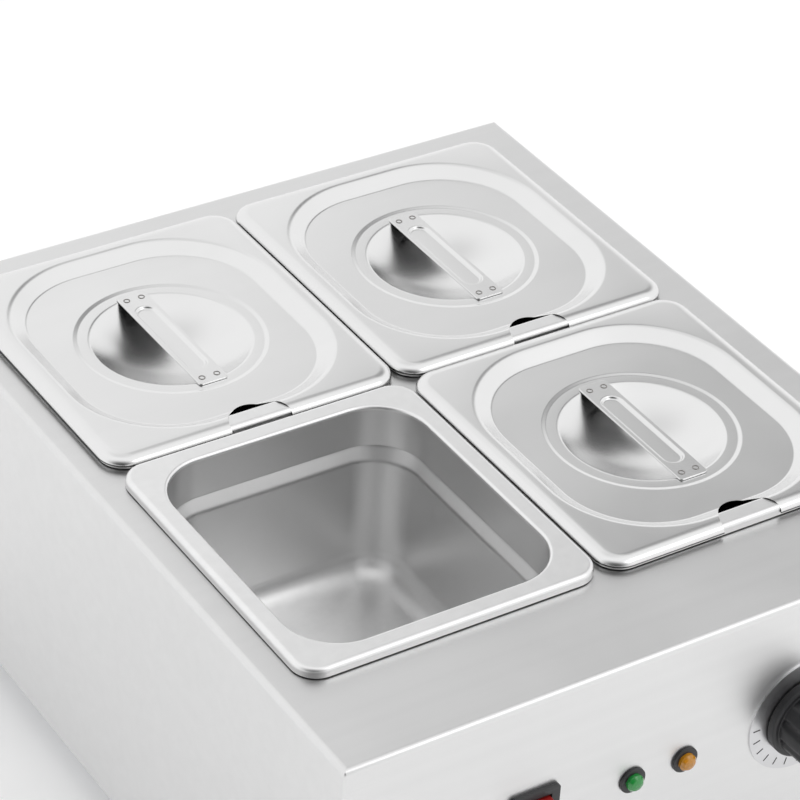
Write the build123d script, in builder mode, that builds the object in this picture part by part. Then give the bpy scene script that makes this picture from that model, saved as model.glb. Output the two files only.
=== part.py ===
from build123d import *
import os
from math import atan, cos, degrees, hypot, radians, sin, sqrt, tan

# Table-top chocolate melter: a folded steel box with a heated well, four drop-in pans and three lids.
# Millimetres. +Z is up, the front faces -Y, and the origin is the middle of the footprint on the table.

# Pans, one-sixth gastronorm size
pan_width = 162.0
pan_length = 176.0
pan_height = 96.0
pan_sheet = 0.8
rim_height = 5.8
rim_corner = 13.0
rim_round = 4.0
flange_width = 10.75
mouth_corner = 28.0
mouth_round = 2.0
shoulder_depth = 23.0
shoulder_drop = 5.0
shoulder_step = 3.6
upper_draft = 1.0
lower_draft = 3.5
floor_round = 9.0

# Lids
lid_sheet = 0.7
lid_skirt_gap = 0.3
lid_side_gap = 1.0
lid_skirt_drop = 2.8
lid_round = 3.2
recess_reach = 0.25
recess_corner = 55.0
recess_depth = 5.0
recess_run = 6.25
recess_edge_round = 4.5
recess_foot_round = 5.0
dish_radius = 42.7
dish_depth = 25.0
dish_round = 8.0
notch_width = 34.0
notch_end_width = 22.0
notch_depth = 22.5
notch_shift = 1.5

# Lid handles
handle_width = 16.5
handle_sheet = 1.0
handle_corner = 2.0
handle_overhang = 1.3
handle_gap = 0.05
channel_width = 6.5
channel_margin = 13.5
channel_depth = 1.0

# Casing, panels and base
left_margin = 15.0
right_margin = 22.0
rear_margin = 20.0
front_margin = 58.0
body_height = 178.0
casing_sheet = 1.0
bend_radius = 3.0
lip_height = 12.0
cutout_gap = 1.0
panel_sheet = 1.0
panel_flange = 16.0
base_sheet = 1.0
base_flange = 14.0
sheet_gap = 0.2
vent_length = 40.0
vent_width = 4.0
vent_pitch = 12.0
vent_count = 8

# Well, insulation and heater
well_gap = 6.0
well_sheet = 0.8
well_corner = 20.0
well_floor_gap = 18.0
well_floor_round = 10.0
well_flange = 10.0
insulation_thickness = 12.0
insulation_gap = 0.5
floor_pad_thickness = 20.0
floor_pad_side = 70.0
floor_pad_end = 140.0
floor_pad_corner = 20.0
spreader_sheet = 3.0
spreader_inset = 20.0
spreader_corner = 20.0
element_diameter = 8.0
element_side_margin = 35.35
element_margin = 18.0
element_gap = 0.2
element_tail = 6.0
terminal_pin_diameter = 4.0
terminal_pin_length = 12.0
terminal_bush_diameter = 7.0
terminal_bush_length = 3.0
clamp_bar_width = 12.0
clamp_bar_sheet = 1.5
clamp_bar_spread = 60.0
clamp_bar_end = 12.0
stud_diameter = 5.0
stud_gap = 0.2
stud_tail = 2.0
nut_across = 8.0
nut_height = 4.0
nut_bore_gap = 0.05

# Safety cut-out under the spreader
cutout_switch_diameter = 16.0
cutout_switch_height = 9.0
cutout_switch_flange = 24.0
cutout_switch_flange_sheet = 1.0
cutout_switch_y = 15.0
blade_width = 6.3
blade_sheet = 0.8
blade_length = 8.0
blade_spread = 9.0

# Thermostat
control_drop = 72.0
knob_inset = 104.0
thermostat_width = 34.0
thermostat_tall = 32.0
thermostat_deep = 26.0
thermostat_corner = 2.0
shaft_diameter = 6.0
shaft_gap = 0.05
shaft_depth = 12.0
shaft_end_gap = 0.5
shaft_hole_gap = 2.0
dial_diameter = 64.0
dial_sheet = 0.8
knob_diameter = 38.0
knob_skirt_diameter = 44.0
knob_skirt_height = 5.0
knob_height = 22.0
knob_gap = 0.5
knob_wall = 5.0
knob_bore_gap = 0.05
knob_chamfer = 0.7
knob_flutes = 10
knob_flute_radius = 4.0
knob_flute_bite = 1.4
knob_pointer_width = 2.0
knob_pointer_depth = 0.8
bulb_diameter = 6.0
bulb_length = 70.0
bulb_y = -65.0
bulb_gap = 0.2
capillary_diameter = 2.0
capillary_bend = 9.0
capillary_y = 20.0
capillary_lead = 12.0
capillary_drop = 20.0
clip_sheet = 1.0
clip_width = 12.0
clip_foot = 7.0

# Rocker switch
switch_inset = 104.0
switch_width = 22.0
switch_tall = 30.0
switch_bezel = 2.5
switch_bezel_sheet = 2.0
switch_deep = 22.0
switch_wall = 2.0
switch_floor = 7.0
switch_hole_gap = 0.3
rocker_side_gap = 0.3
rocker_end_gap = 0.5
rocker_tilt = 10.0
rocker_face = 5.0
rocker_dip = 2.0
rocker_root = 4.0
rocker_pin_diameter = 3.0
rocker_pin_length = 1.6
rocker_pin_gap = 0.05
rocker_pivot_depth = 2.5

# Pilot lamps
power_lamp_x = -22.0
heating_lamp_x = 8.0
lamp_diameter = 10.0
lamp_hole_gap = 0.25
lamp_flange_diameter = 14.0
lamp_flange_height = 1.5
lamp_lens_diameter = 9.0
lamp_lens_height = 4.0
lamp_lens_round = 2.0
lamp_deep = 24.0

# Cord gland, terminal block and earth stud
gland_inset = 62.0
gland_height = 30.0
gland_bore = 8.0
gland_thread = 16.0
gland_hole_gap = 0.2
gland_hex = 22.0
gland_hex_height = 5.0
gland_sleeve_diameter = 13.0
gland_dome_diameter = 20.0
gland_dome_height = 13.0
gland_dome_nose = 15.0
gland_dome_gap = 0.1
gland_tail = 10.0
lock_nut_height = 4.0
block_width = 30.0
block_deep = 22.0
block_tall = 18.0
block_corner = 2.0
block_bore_depth = 9.0
block_setback = 62.0
block_bore = 4.0
block_pitch = 9.0
earth_setback = 44.0
earth_side = 48.0
earth_stud_length = 16.0

# Wiring
wire_diameter = 3.0
wire_bend = 6.0
wire_rise_front = 12.0
wire_rise_middle = 36.0
wire_rise_rear = 42.0
wire_offset = 6.0

# Feet and screws
foot_height = 22.0
foot_inset = 34.0
foot_top_diameter = 38.0
foot_bottom_diameter = 32.0
foot_counterbore = 12.0
foot_counterbore_depth = 14.0
foot_screw_diameter = 5.0
foot_screw_head = 9.0
foot_screw_head_height = 4.0
foot_screw_gap = 0.2
screw_diameter = 4.0
screw_hole_gap = 0.2
screw_head_diameter = 7.0
screw_head_height = 2.0
screw_head_chamfer = 1.2
screw_length = 4.6
screw_edge = 8.0
panel_screw_low = 35.0
panel_screw_high = 140.0
base_screw_inset = 90.0

# Layout worked out from the sizes above
lid_width = pan_width + 2 * (lid_skirt_gap + lid_sheet)
lid_length = pan_length + 2 * (lid_skirt_gap + lid_sheet)
pitch_x = lid_width + lid_side_gap
pitch_y = lid_length + lid_side_gap
field_width = pitch_x + pan_width
field_length = pitch_y + pan_length
body_width = field_width + left_margin + right_margin
body_depth = field_length + rear_margin + front_margin
knob_reach = knob_height + knob_gap + dial_sheet - casing_sheet
gland_reach = gland_hex_height + gland_dome_height - casing_sheet
body_y = (knob_reach - gland_reach) / 2
front_y = body_y - body_depth / 2
rear_y = body_y + body_depth / 2
left_x = -body_width / 2
right_x = body_width / 2
field_x = left_x + left_margin + field_width / 2
field_y = rear_y - rear_margin - field_length / 2
deck_z = foot_height + body_height
rim_z = deck_z + rim_height
panel_front = front_y + casing_sheet
panel_rear = rear_y - casing_sheet
inner_width = body_width - 2 * (casing_sheet + sheet_gap)
base_top = foot_height + base_sheet
mouth_width = pan_width - 2 * flange_width
mouth_length = pan_length - 2 * flange_width
dish_sphere = (dish_radius ** 2 + dish_depth ** 2) / (2 * dish_depth)
pan_places = {
    "rear_left": (field_x - pitch_x / 2, field_y + pitch_y / 2),
    "rear_right": (field_x + pitch_x / 2, field_y + pitch_y / 2),
    "front_left": (field_x - pitch_x / 2, field_y - pitch_y / 2),
    "front_right": (field_x + pitch_x / 2, field_y - pitch_y / 2),
}
lidded_places = ("rear_left", "rear_right", "front_right")
well_width = pitch_x + mouth_width + 2 * (pan_sheet + well_gap + well_sheet)
well_length = pitch_y + mouth_length + 2 * (pan_sheet + well_gap + well_sheet)
well_top = deck_z - casing_sheet
well_bottom = rim_z - pan_height - well_floor_gap - well_sheet
spreader_bottom = well_bottom - spreader_sheet
control_z = deck_z - control_drop
knob_x = right_x - knob_inset
switch_x = left_x + switch_inset
gland_x = right_x - gland_inset
gland_z = foot_height + gland_height
screw_ends = [(side, y, z) for side in (-1, 1)
              for y, z in ((front_y + screw_edge + casing_sheet, foot_height + panel_screw_low),
                           (front_y + screw_edge + casing_sheet, foot_height + panel_screw_high),
                           (rear_y - screw_edge - casing_sheet, foot_height + panel_screw_low),
                           (rear_y - screw_edge - casing_sheet, foot_height + panel_screw_high),
                           (front_y + base_screw_inset, base_top + base_flange / 2),
                           (rear_y - base_screw_inset, base_top + base_flange / 2))]
foot_places = [(x, y) for x in (left_x + foot_inset, right_x - foot_inset)
               for y in (front_y + foot_inset, rear_y - foot_inset)]


def save(piece, name):
    """Label a finished piece and write its file."""
    piece.part.label = name
    export_step(piece.part, f"parts/{name}.step")


def across_y(x, y, z):
    """Plane through a point with its normal along +Y, X to the right and Z up in the sketch."""
    return Plane(origin=(x, y, z), x_dir=(1, 0, 0), z_dir=(0, -1, 0))


def bowl(centre, grow):
    """Pan cavity for grow 0, or the outside of the pan's bowl for grow equal to the sheet."""
    floor_depth = pan_height - pan_sheet + grow
    shoulder_foot = shoulder_depth + shoulder_drop
    upper_inset = shoulder_depth * tan(radians(upper_draft))
    shoulder_inset = upper_inset + shoulder_step
    floor_inset = shoulder_inset + (floor_depth - shoulder_foot) * tan(radians(lower_draft))
    stages = ((0, shoulder_depth, 0, upper_inset),
              (shoulder_depth, shoulder_foot, upper_inset, shoulder_inset),
              (shoulder_foot, floor_depth, shoulder_inset, floor_inset))
    with BuildPart() as form:
        for top, bottom, inset, end_inset in stages:
            with BuildSketch(centre.offset(-top)):
                RectangleRounded(mouth_width + 2 * (grow - inset), mouth_length + 2 * (grow - inset),
                                 mouth_corner + grow - inset)
            draft = degrees(atan((end_inset - inset) / (bottom - top)))
            extrude(amount=bottom - top, dir=(0, 0, -1), taper=draft)
        fillet(form.edges().group_by(Axis.Z)[0], floor_round + grow)
    return form.part


def rim_block(centre, shrink):
    """Rounded block of the pan's rim, or the hollow under its flange when shrunk by the sheet."""
    with BuildPart() as form:
        with BuildSketch(centre.offset(-rim_height)):
            RectangleRounded(pan_width - 2 * shrink, pan_length - 2 * shrink, rim_corner - shrink)
        extrude(amount=rim_height - shrink)
        fillet(form.edges().group_by(Axis.Z)[-1], rim_round - shrink)
    return form.part


def make_pan(name, x, y):
    """Drop-in pan: rolled rim, stacking shoulder, drafted walls and a rounded floor."""
    centre = Plane((x, y, rim_z))
    rim_outside = rim_block(centre, 0)
    rim_inside = rim_block(centre, pan_sheet)
    bowl_outside = bowl(centre, pan_sheet)
    bowl_inside = bowl(centre, 0)
    with BuildPart() as pan:
        add(rim_outside)
        add(rim_inside, mode=Mode.SUBTRACT)
        add(bowl_outside)
        add(bowl_inside, mode=Mode.SUBTRACT)
        mouth = pan.faces().filter_by(Axis.Z).sort_by(Axis.Z)[-1].inner_wires()[0]
        fillet(mouth.edges(), mouth_round)
    save(pan, name)


def lid_form(centre, grow):
    """Block under the lid's upper surface, or under its lower surface when grow is the sheet."""
    draft_angle = atan(recess_run / recess_depth)
    outline_grow = grow * (1 - sin(draft_angle)) / cos(draft_angle)
    panel_depth = recess_depth + grow
    form_depth = panel_depth + dish_depth + 2 * lid_sheet
    corner = rim_corner + lid_sheet + lid_skirt_gap - grow
    recess_width = mouth_width + 2 * recess_reach
    recess_length = mouth_length + 2 * recess_reach
    with BuildPart() as form:
        with BuildSketch(centre.offset(-grow)):
            RectangleRounded(lid_width - 2 * grow, lid_length - 2 * grow, corner)
        extrude(amount=form_depth, dir=(0, 0, -1))
        fillet(form.faces().sort_by(Axis.Z)[-1].edges(), lid_round - grow)
        with BuildSketch(centre.offset(-grow)):
            RectangleRounded(recess_width + 2 * outline_grow, recess_length + 2 * outline_grow,
                             recess_corner + outline_grow)
        extrude(amount=recess_depth, dir=(0, 0, -1), taper=degrees(draft_angle), mode=Mode.SUBTRACT)
        recess_edge = form.faces().filter_by(Axis.Z).sort_by(Axis.Z)[-1].inner_wires()[0]
        fillet(recess_edge.edges(), recess_edge_round - grow)
        panel = form.faces().filter_by(Axis.Z).sort_by(Axis.Z)[1]
        fillet(panel.edges(), recess_foot_round + grow)
        with Locations(centre.offset(dish_sphere - dish_depth - recess_depth)):
            Sphere(dish_sphere + grow, mode=Mode.SUBTRACT)
        dish_edge = form.faces().filter_by(Axis.Z).sort_by(Axis.Z)[1].inner_wires()[0]
        fillet(dish_edge.edges(), dish_round - grow)
    return form.part


def make_lid(name, x, y):
    """Stamped lid: rounded skirt, flat rim, sunken panel, finger dish and a ladle notch in front."""
    top = Plane((x, y, rim_z + lid_sheet))
    skirt_edge = Plane((x, y, rim_z - lid_skirt_drop))
    corner = rim_corner + lid_sheet + lid_skirt_gap
    upper_form = lid_form(top, 0)
    lower_form = lid_form(top, lid_sheet)
    with BuildPart() as lid:
        add(upper_form)
        add(lower_form, mode=Mode.SUBTRACT)
        with BuildSketch(skirt_edge):
            RectangleRounded(lid_width + 2 * lid_sheet, lid_length + 2 * lid_sheet, corner + lid_sheet)
            RectangleRounded(lid_width - 4 * lid_sheet, lid_length - 4 * lid_sheet, corner - 2 * lid_sheet,
                             mode=Mode.SUBTRACT)
        extrude(amount=recess_depth + 2 * dish_depth, dir=(0, 0, -1), mode=Mode.SUBTRACT)
        with BuildSketch(top):
            with Locations((notch_shift, -lid_length / 2)):
                Circle(notch_width / 2)
            with Locations((notch_shift, notch_depth - (lid_length + notch_end_width) / 2)):
                Circle(notch_end_width / 2)
            make_hull()
        extrude(amount=2 * recess_depth, both=True, mode=Mode.SUBTRACT)
    save(lid, name)


def make_handle(name, x, y):
    """Strip handle across the dish, its corners on the dish's rounded edge, with a channel along it."""
    handle_length = 2 * (dish_radius + handle_overhang)
    channel_length = handle_length - 2 * channel_margin
    edge_centre = sqrt((dish_sphere + dish_round) ** 2 - (dish_sphere - dish_depth + dish_round) ** 2)
    corner_reach = hypot(handle_width / 2 - handle_corner, handle_length / 2 - handle_corner) + handle_corner
    seat_inset = max(edge_centre - corner_reach, 0)
    seat_depth = recess_depth + dish_round - sqrt(dish_round ** 2 - seat_inset ** 2) - handle_gap
    seat = Plane((x, y, rim_z + lid_sheet - seat_depth))
    with BuildPart() as handle:
        with BuildSketch(seat):
            RectangleRounded(handle_width, handle_length, handle_corner)
        extrude(amount=handle_sheet)
        with BuildSketch(seat):
            SlotOverall(channel_length + handle_sheet, channel_width + handle_sheet, rotation=90)
        extrude(amount=channel_depth, dir=(0, 0, -1))
        with BuildSketch(seat.offset(handle_sheet)):
            SlotOverall(channel_length, channel_width, rotation=90)
        extrude(amount=channel_depth, dir=(0, 0, -1), mode=Mode.SUBTRACT)
    save(handle, name)


os.makedirs("parts", exist_ok=True)

for place, (pan_x, pan_y) in pan_places.items():
    make_pan(f"pan_{place}", pan_x, pan_y)
for place in lidded_places:
    make_lid(f"lid_{place}", *pan_places[place])
    make_handle(f"lid_handle_{place}", *pan_places[place])

# Folded casing: the deck and both sides in one sheet, with a short lip over the front and rear panels
casing_middle = Plane((0, body_y, foot_height))
cutout_grow = pan_sheet + cutout_gap
with BuildPart() as casing_void:
    with BuildSketch(casing_middle):
        Rectangle(body_width - 2 * casing_sheet, body_depth - 2 * casing_sheet)
    extrude(amount=body_height - casing_sheet)
    fillet(casing_void.faces().sort_by(Axis.Z)[-1].edges(), bend_radius - casing_sheet)
with BuildPart() as casing:
    with BuildSketch(casing_middle):
        Rectangle(body_width, body_depth)
    extrude(amount=body_height)
    fillet(casing.faces().sort_by(Axis.Z)[-1].edges(), bend_radius)
    add(casing_void.part, mode=Mode.SUBTRACT)
    with BuildSketch(casing_middle):
        Rectangle(body_width - 2 * casing_sheet, body_depth)
    extrude(amount=body_height - lip_height, mode=Mode.SUBTRACT)
    with BuildSketch(Plane.XY.offset(deck_z)):
        with Locations(*pan_places.values()):
            RectangleRounded(mouth_width + 2 * cutout_grow, mouth_length + 2 * cutout_grow,
                             mouth_corner + cutout_grow)
    extrude(amount=2 * casing_sheet, dir=(0, 0, -1), mode=Mode.SUBTRACT)
    with Locations(*[Location((side * right_x, y, z), (0, 90, 0)) for side, y, z in screw_ends]):
        Cylinder(screw_diameter / 2 + screw_hole_gap, 4 * casing_sheet, mode=Mode.SUBTRACT)
save(casing, "casing")

# Front panel: a face plate with two rear-turned flanges, behind the casing's front lip
panel_tall = body_height - bend_radius - base_sheet - sheet_gap
with BuildPart() as front_panel:
    with BuildSketch(Plane.XY.offset(base_top)):
        with Locations((0, panel_front)):
            Rectangle(inner_width, panel_flange, align=(Align.CENTER, Align.MIN))
        with Locations((0, panel_front + panel_sheet)):
            Rectangle(inner_width - 2 * panel_sheet, panel_flange, align=(Align.CENTER, Align.MIN),
                      mode=Mode.SUBTRACT)
    extrude(amount=panel_tall)
    with BuildSketch(across_y(0, panel_front, control_z)):
        with Locations((switch_x, 0)):
            Rectangle(switch_width + 2 * switch_hole_gap, switch_tall + 2 * switch_hole_gap)
        with Locations((power_lamp_x, 0), (heating_lamp_x, 0)):
            Circle(lamp_diameter / 2 + lamp_hole_gap)
        with Locations((knob_x, 0)):
            Circle(shaft_diameter / 2 + shaft_hole_gap)
    extrude(amount=2 * panel_sheet, both=True, mode=Mode.SUBTRACT)
    with Locations(*[Location((side * inner_width / 2, y, z), (0, 90, 0)) for side, y, z in screw_ends]):
        Cylinder(screw_diameter / 2 + screw_hole_gap, 4 * panel_sheet, mode=Mode.SUBTRACT)
save(front_panel, "front_panel")

# Rear panel: the same folded plate turned round, with the cord gland's hole
with BuildPart() as rear_panel:
    with BuildSketch(Plane.XY.offset(base_top)):
        with Locations((0, panel_rear)):
            Rectangle(inner_width, panel_flange, align=(Align.CENTER, Align.MAX))
        with Locations((0, panel_rear - panel_sheet)):
            Rectangle(inner_width - 2 * panel_sheet, panel_flange, align=(Align.CENTER, Align.MAX),
                      mode=Mode.SUBTRACT)
    extrude(amount=panel_tall)
    with BuildSketch(across_y(gland_x, panel_rear, gland_z)):
        Circle(gland_thread / 2 + gland_hole_gap)
    extrude(amount=2 * panel_sheet, both=True, mode=Mode.SUBTRACT)
    with Locations(*[Location((side * inner_width / 2, y, z), (0, 90, 0)) for side, y, z in screw_ends]):
        Cylinder(screw_diameter / 2 + screw_hole_gap, 4 * panel_sheet, mode=Mode.SUBTRACT)
save(rear_panel, "rear_panel")

# Base plate: flanges up both sides between the panels' flanges, vent slots under the controls, foot holes
flange_run = body_depth - 2 * (casing_sheet + panel_flange + 2 * sheet_gap)
with BuildPart() as base_plate:
    with BuildSketch(casing_middle):
        Rectangle(inner_width, body_depth - 2 * casing_sheet)
    extrude(amount=base_sheet)
    with BuildSketch(casing_middle):
        Rectangle(inner_width, flange_run)
        Rectangle(inner_width - 2 * base_sheet, flange_run, mode=Mode.SUBTRACT)
    extrude(amount=base_sheet + base_flange)
    with BuildSketch(casing_middle):
        with Locations(*[(x, y - body_y) for x, y in foot_places]):
            Circle(foot_screw_diameter / 2 + foot_screw_gap)
        with Locations((0, front_y - body_y + vent_length / 2 + foot_inset)):
            with GridLocations(vent_pitch, vent_length, vent_count, 1):
                SlotOverall(vent_length, vent_width, rotation=90)
        with Locations((gland_x - earth_side, rear_y - earth_setback - body_y)):
            Circle(stud_diameter / 2 + stud_gap)
    extrude(amount=base_sheet, mode=Mode.SUBTRACT)
    with Locations(*[Location((side * inner_width / 2, y, z), (0, 90, 0)) for side, y, z in screw_ends]):
        Cylinder(screw_diameter / 2 + screw_hole_gap, 4 * base_sheet, mode=Mode.SUBTRACT)
save(base_plate, "base_plate")

# Casing screws: domed heads outside, short shanks through casing and flange
with BuildPart() as casing_screw:
    Cylinder(screw_head_diameter / 2, screw_head_height, align=(Align.CENTER, Align.CENTER, Align.MIN))
    chamfer(casing_screw.edges().group_by(Axis.Z)[-1], screw_head_chamfer)
    Cylinder(screw_diameter / 2, screw_length, align=(Align.CENTER, Align.CENTER, Align.MAX))
with BuildPart() as casing_screws:
    with Locations(*[Location((side * right_x, y, z), (0, side * 90, 0)) for side, y, z in screw_ends]):
        add(casing_screw.part)
save(casing_screws, "casing_screws")

# Heated well: a welded tank under the pans, hung by its flange from the deck
well_middle = Plane((field_x, field_y, well_bottom))


def well_form(shrink):
    """Outside of the well, or its inside when shrunk by the sheet."""
    with BuildPart() as form:
        with BuildSketch(well_middle.offset(shrink)):
            RectangleRounded(well_width - 2 * shrink, well_length - 2 * shrink, well_corner - shrink)
        extrude(amount=well_top - well_bottom - shrink)
        fillet(form.edges().group_by(Axis.Z)[0], well_floor_round - shrink)
    return form.part


well_outside = well_form(0)
well_inside = well_form(well_sheet)
with BuildPart() as well:
    add(well_outside)
    with BuildSketch(Plane((field_x, field_y, well_top))):
        RectangleRounded(well_width + 2 * well_flange, well_length + 2 * well_flange,
                         well_corner + well_flange)
    extrude(amount=well_sheet, dir=(0, 0, -1))
    add(well_inside, mode=Mode.SUBTRACT)
save(well, "heated_well")

# Insulation: a blanket round the well and a pad on the base plate
with BuildPart() as side_insulation:
    with BuildSketch(well_middle):
        wrap = insulation_gap + insulation_thickness
        RectangleRounded(well_width + 2 * wrap, well_length + 2 * wrap, well_corner + wrap)
        RectangleRounded(well_width + 2 * insulation_gap, well_length + 2 * insulation_gap,
                         well_corner + insulation_gap, mode=Mode.SUBTRACT)
    extrude(amount=well_top - well_sheet - insulation_gap - well_bottom)
save(side_insulation, "side_insulation")
with BuildPart() as floor_insulation:
    with BuildSketch(Plane((0, body_y, base_top))):
        RectangleRounded(body_width - 2 * floor_pad_side, body_depth - 2 * floor_pad_end, floor_pad_corner)
    extrude(amount=floor_pad_thickness)
save(floor_insulation, "floor_insulation")

# Heat spreader under the well's floor
spreader_width = well_width - 2 * spreader_inset
spreader_length = well_length - 2 * spreader_inset
with BuildPart() as spreader:
    with BuildSketch(Plane((field_x, field_y, spreader_bottom))):
        RectangleRounded(spreader_width, spreader_length, spreader_corner)
    extrude(amount=spreader_sheet)
save(spreader, "heat_spreader")

# Tubular heating element: four runs and three return bends, both ends brought out to the front
element_z = spreader_bottom - element_gap - element_diameter / 2
element_pitch = (spreader_width - 2 * element_side_margin) / 3
element_bend = element_pitch / 2
run_end = spreader_length / 2 - element_margin - element_bend
first_run_x = field_x - 1.5 * element_pitch
last_run_x = field_x + 1.5 * element_pitch
tail_y = field_y - well_length / 2 - insulation_gap - insulation_thickness - element_tail
with BuildPart() as element:
    with BuildLine():
        first_run = Line((first_run_x, tail_y, element_z), (first_run_x, field_y + run_end, element_z))
        first_turn = JernArc(first_run @ 1, first_run % 1, element_bend, -180)
        second_run = Line(first_turn @ 1, first_turn @ 1 - (0, 2 * run_end, 0))
        second_turn = JernArc(second_run @ 1, second_run % 1, element_bend, 180)
        third_run = Line(second_turn @ 1, second_turn @ 1 + (0, 2 * run_end, 0))
        third_turn = JernArc(third_run @ 1, third_run % 1, element_bend, -180)
        last_run = Line(third_turn @ 1, (last_run_x, tail_y, element_z))
    with BuildSketch(Plane(origin=first_run @ 0, z_dir=first_run % 0)):
        Circle(element_diameter / 2)
    sweep()
save(element, "heating_element")

# Element ends: ceramic bush and threaded pin on each tail
with BuildPart() as element_ends:
    with Locations(*[across_y(x, tail_y, element_z) for x in (first_run_x, last_run_x)]):
        Cylinder(terminal_bush_diameter / 2, terminal_bush_length,
                 align=(Align.CENTER, Align.CENTER, Align.MIN))
        Cylinder(terminal_pin_diameter / 2, terminal_bush_length + terminal_pin_length,
                 align=(Align.CENTER, Align.CENTER, Align.MIN))
save(element_ends, "element_terminals")

# Clamp bars that hold the element up to the spreader, with their studs and nuts
bar_top = element_z - element_diameter / 2 - element_gap
bar_length = 3 * element_pitch + element_diameter + 2 * clamp_bar_end
bar_rows = [field_y - clamp_bar_spread, field_y + clamp_bar_spread]
stud_places = [(field_x + side * element_pitch, y) for side in (-1, 1) for y in bar_rows]
with BuildPart() as clamp_bars:
    with BuildSketch(Plane.XY.offset(bar_top)):
        with Locations(*[(field_x, y) for y in bar_rows]):
            SlotOverall(bar_length, clamp_bar_width)
        with Locations(*stud_places):
            Circle(stud_diameter / 2 + stud_gap, mode=Mode.SUBTRACT)
    extrude(amount=clamp_bar_sheet, dir=(0, 0, -1))
save(clamp_bars, "clamp_bars")
stud_length = spreader_bottom - bar_top + clamp_bar_sheet + nut_height + stud_tail
with BuildPart() as clamp_studs:
    with BuildSketch(Plane.XY.offset(spreader_bottom)):
        with Locations(*stud_places):
            Circle(stud_diameter / 2)
    extrude(amount=stud_length, dir=(0, 0, -1))
save(clamp_studs, "clamp_studs")
with BuildPart() as clamp_nuts:
    with BuildSketch(Plane.XY.offset(bar_top - clamp_bar_sheet)):
        with Locations(*stud_places):
            RegularPolygon(nut_across / 2, 6, major_radius=False)
            Circle(stud_diameter / 2 + nut_bore_gap, mode=Mode.SUBTRACT)
    extrude(amount=nut_height, dir=(0, 0, -1))
save(clamp_nuts, "clamp_nuts")

# Safety cut-out: a snap disc held against the spreader, with two blade terminals
cutout_seat = Plane((field_x, field_y + cutout_switch_y, spreader_bottom))
with BuildPart() as safety_cutout:
    with BuildSketch(cutout_seat):
        SlotOverall(cutout_switch_flange + cutout_switch_diameter / 2, cutout_switch_diameter / 2)
        Circle(cutout_switch_diameter / 2)
    extrude(amount=cutout_switch_flange_sheet, dir=(0, 0, -1))
    with BuildSketch(cutout_seat.offset(-cutout_switch_flange_sheet)):
        Circle(cutout_switch_diameter / 2)
    extrude(amount=cutout_switch_height, dir=(0, 0, -1))
    with BuildSketch(cutout_seat.offset(-cutout_switch_flange_sheet - cutout_switch_height)):
        with GridLocations(blade_spread, 1, 2, 1):
            Rectangle(blade_sheet, blade_width)
    extrude(amount=blade_length, dir=(0, 0, -1))
save(safety_cutout, "safety_cutout")

# Thermostat body behind the front panel
panel_back = panel_front + panel_sheet
with BuildPart() as thermostat:
    with BuildSketch(across_y(knob_x, panel_back, control_z)):
        RectangleRounded(thermostat_width, thermostat_tall, thermostat_corner)
    extrude(amount=-thermostat_deep)
    with BuildSketch(across_y(knob_x, panel_back, control_z)):
        Circle(shaft_diameter / 2 + shaft_gap)
    extrude(amount=-(shaft_depth + shaft_end_gap), mode=Mode.SUBTRACT)
save(thermostat, "thermostat_body")

# Dial plate on the panel, then the shaft and the knob that turns with it
dial_front = panel_front - dial_sheet
knob_back = dial_front - knob_gap
knob_bore_depth = knob_height - knob_wall
with BuildPart() as dial:
    with BuildSketch(across_y(knob_x, panel_front, control_z)):
        Circle(dial_diameter / 2)
        Circle(shaft_diameter / 2 + shaft_hole_gap, mode=Mode.SUBTRACT)
    extrude(amount=dial_sheet)
save(dial, "dial_plate")
with BuildPart() as shaft:
    with BuildSketch(across_y(knob_x, panel_back + shaft_depth, control_z)):
        Circle(shaft_diameter / 2)
    extrude(amount=panel_back + shaft_depth - knob_back + knob_bore_depth)
save(shaft, "thermostat_shaft")
with BuildPart() as knob:
    with BuildSketch(across_y(knob_x, knob_back, control_z)):
        Circle(knob_skirt_diameter / 2)
    extrude(amount=knob_skirt_height)
    with BuildSketch(across_y(knob_x, knob_back, control_z)):
        Circle(knob_diameter / 2)
        with PolarLocations(knob_diameter / 2 + knob_flute_radius - knob_flute_bite, knob_flutes):
            Circle(knob_flute_radius, mode=Mode.SUBTRACT)
    extrude(amount=knob_height)
    chamfer(knob.faces().sort_by(Axis.Y)[0].edges(), knob_chamfer)
    with BuildSketch(across_y(knob_x, knob_back - knob_height, control_z)):
        Rectangle(knob_pointer_width, knob_diameter / 2, align=(Align.CENTER, Align.MIN))
    extrude(amount=-knob_pointer_depth, mode=Mode.SUBTRACT)
    with BuildSketch(across_y(knob_x, knob_back, control_z)):
        Circle(shaft_diameter / 2 + knob_bore_gap)
    extrude(amount=knob_bore_depth, mode=Mode.SUBTRACT)
save(knob, "thermostat_knob")

# Sensing bulb under the spreader, its capillary to the thermostat, and the clip that holds it
bulb_z = spreader_bottom - bulb_gap - bulb_diameter / 2
bulb_front = field_y + bulb_y - bulb_length / 2
capillary_front = front_y + capillary_y
capillary_z = bulb_z - capillary_drop
with BuildPart() as capillary:
    with BuildLine():
        FilletPolyline((field_x, bulb_front, bulb_z), (field_x, bulb_front - capillary_lead, bulb_z),
                       (field_x, bulb_front - capillary_lead, capillary_z),
                       (field_x, capillary_front, capillary_z), (knob_x, capillary_front, capillary_z),
                       (knob_x, capillary_front, control_z - thermostat_tall / 2), radius=capillary_bend)
    with BuildSketch(across_y(field_x, bulb_front, bulb_z)):
        Circle(capillary_diameter / 2)
    sweep()
    with BuildSketch(across_y(field_x, bulb_front, bulb_z)):
        Circle(bulb_diameter / 2)
    extrude(amount=-bulb_length)
save(capillary, "thermostat_bulb")
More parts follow.
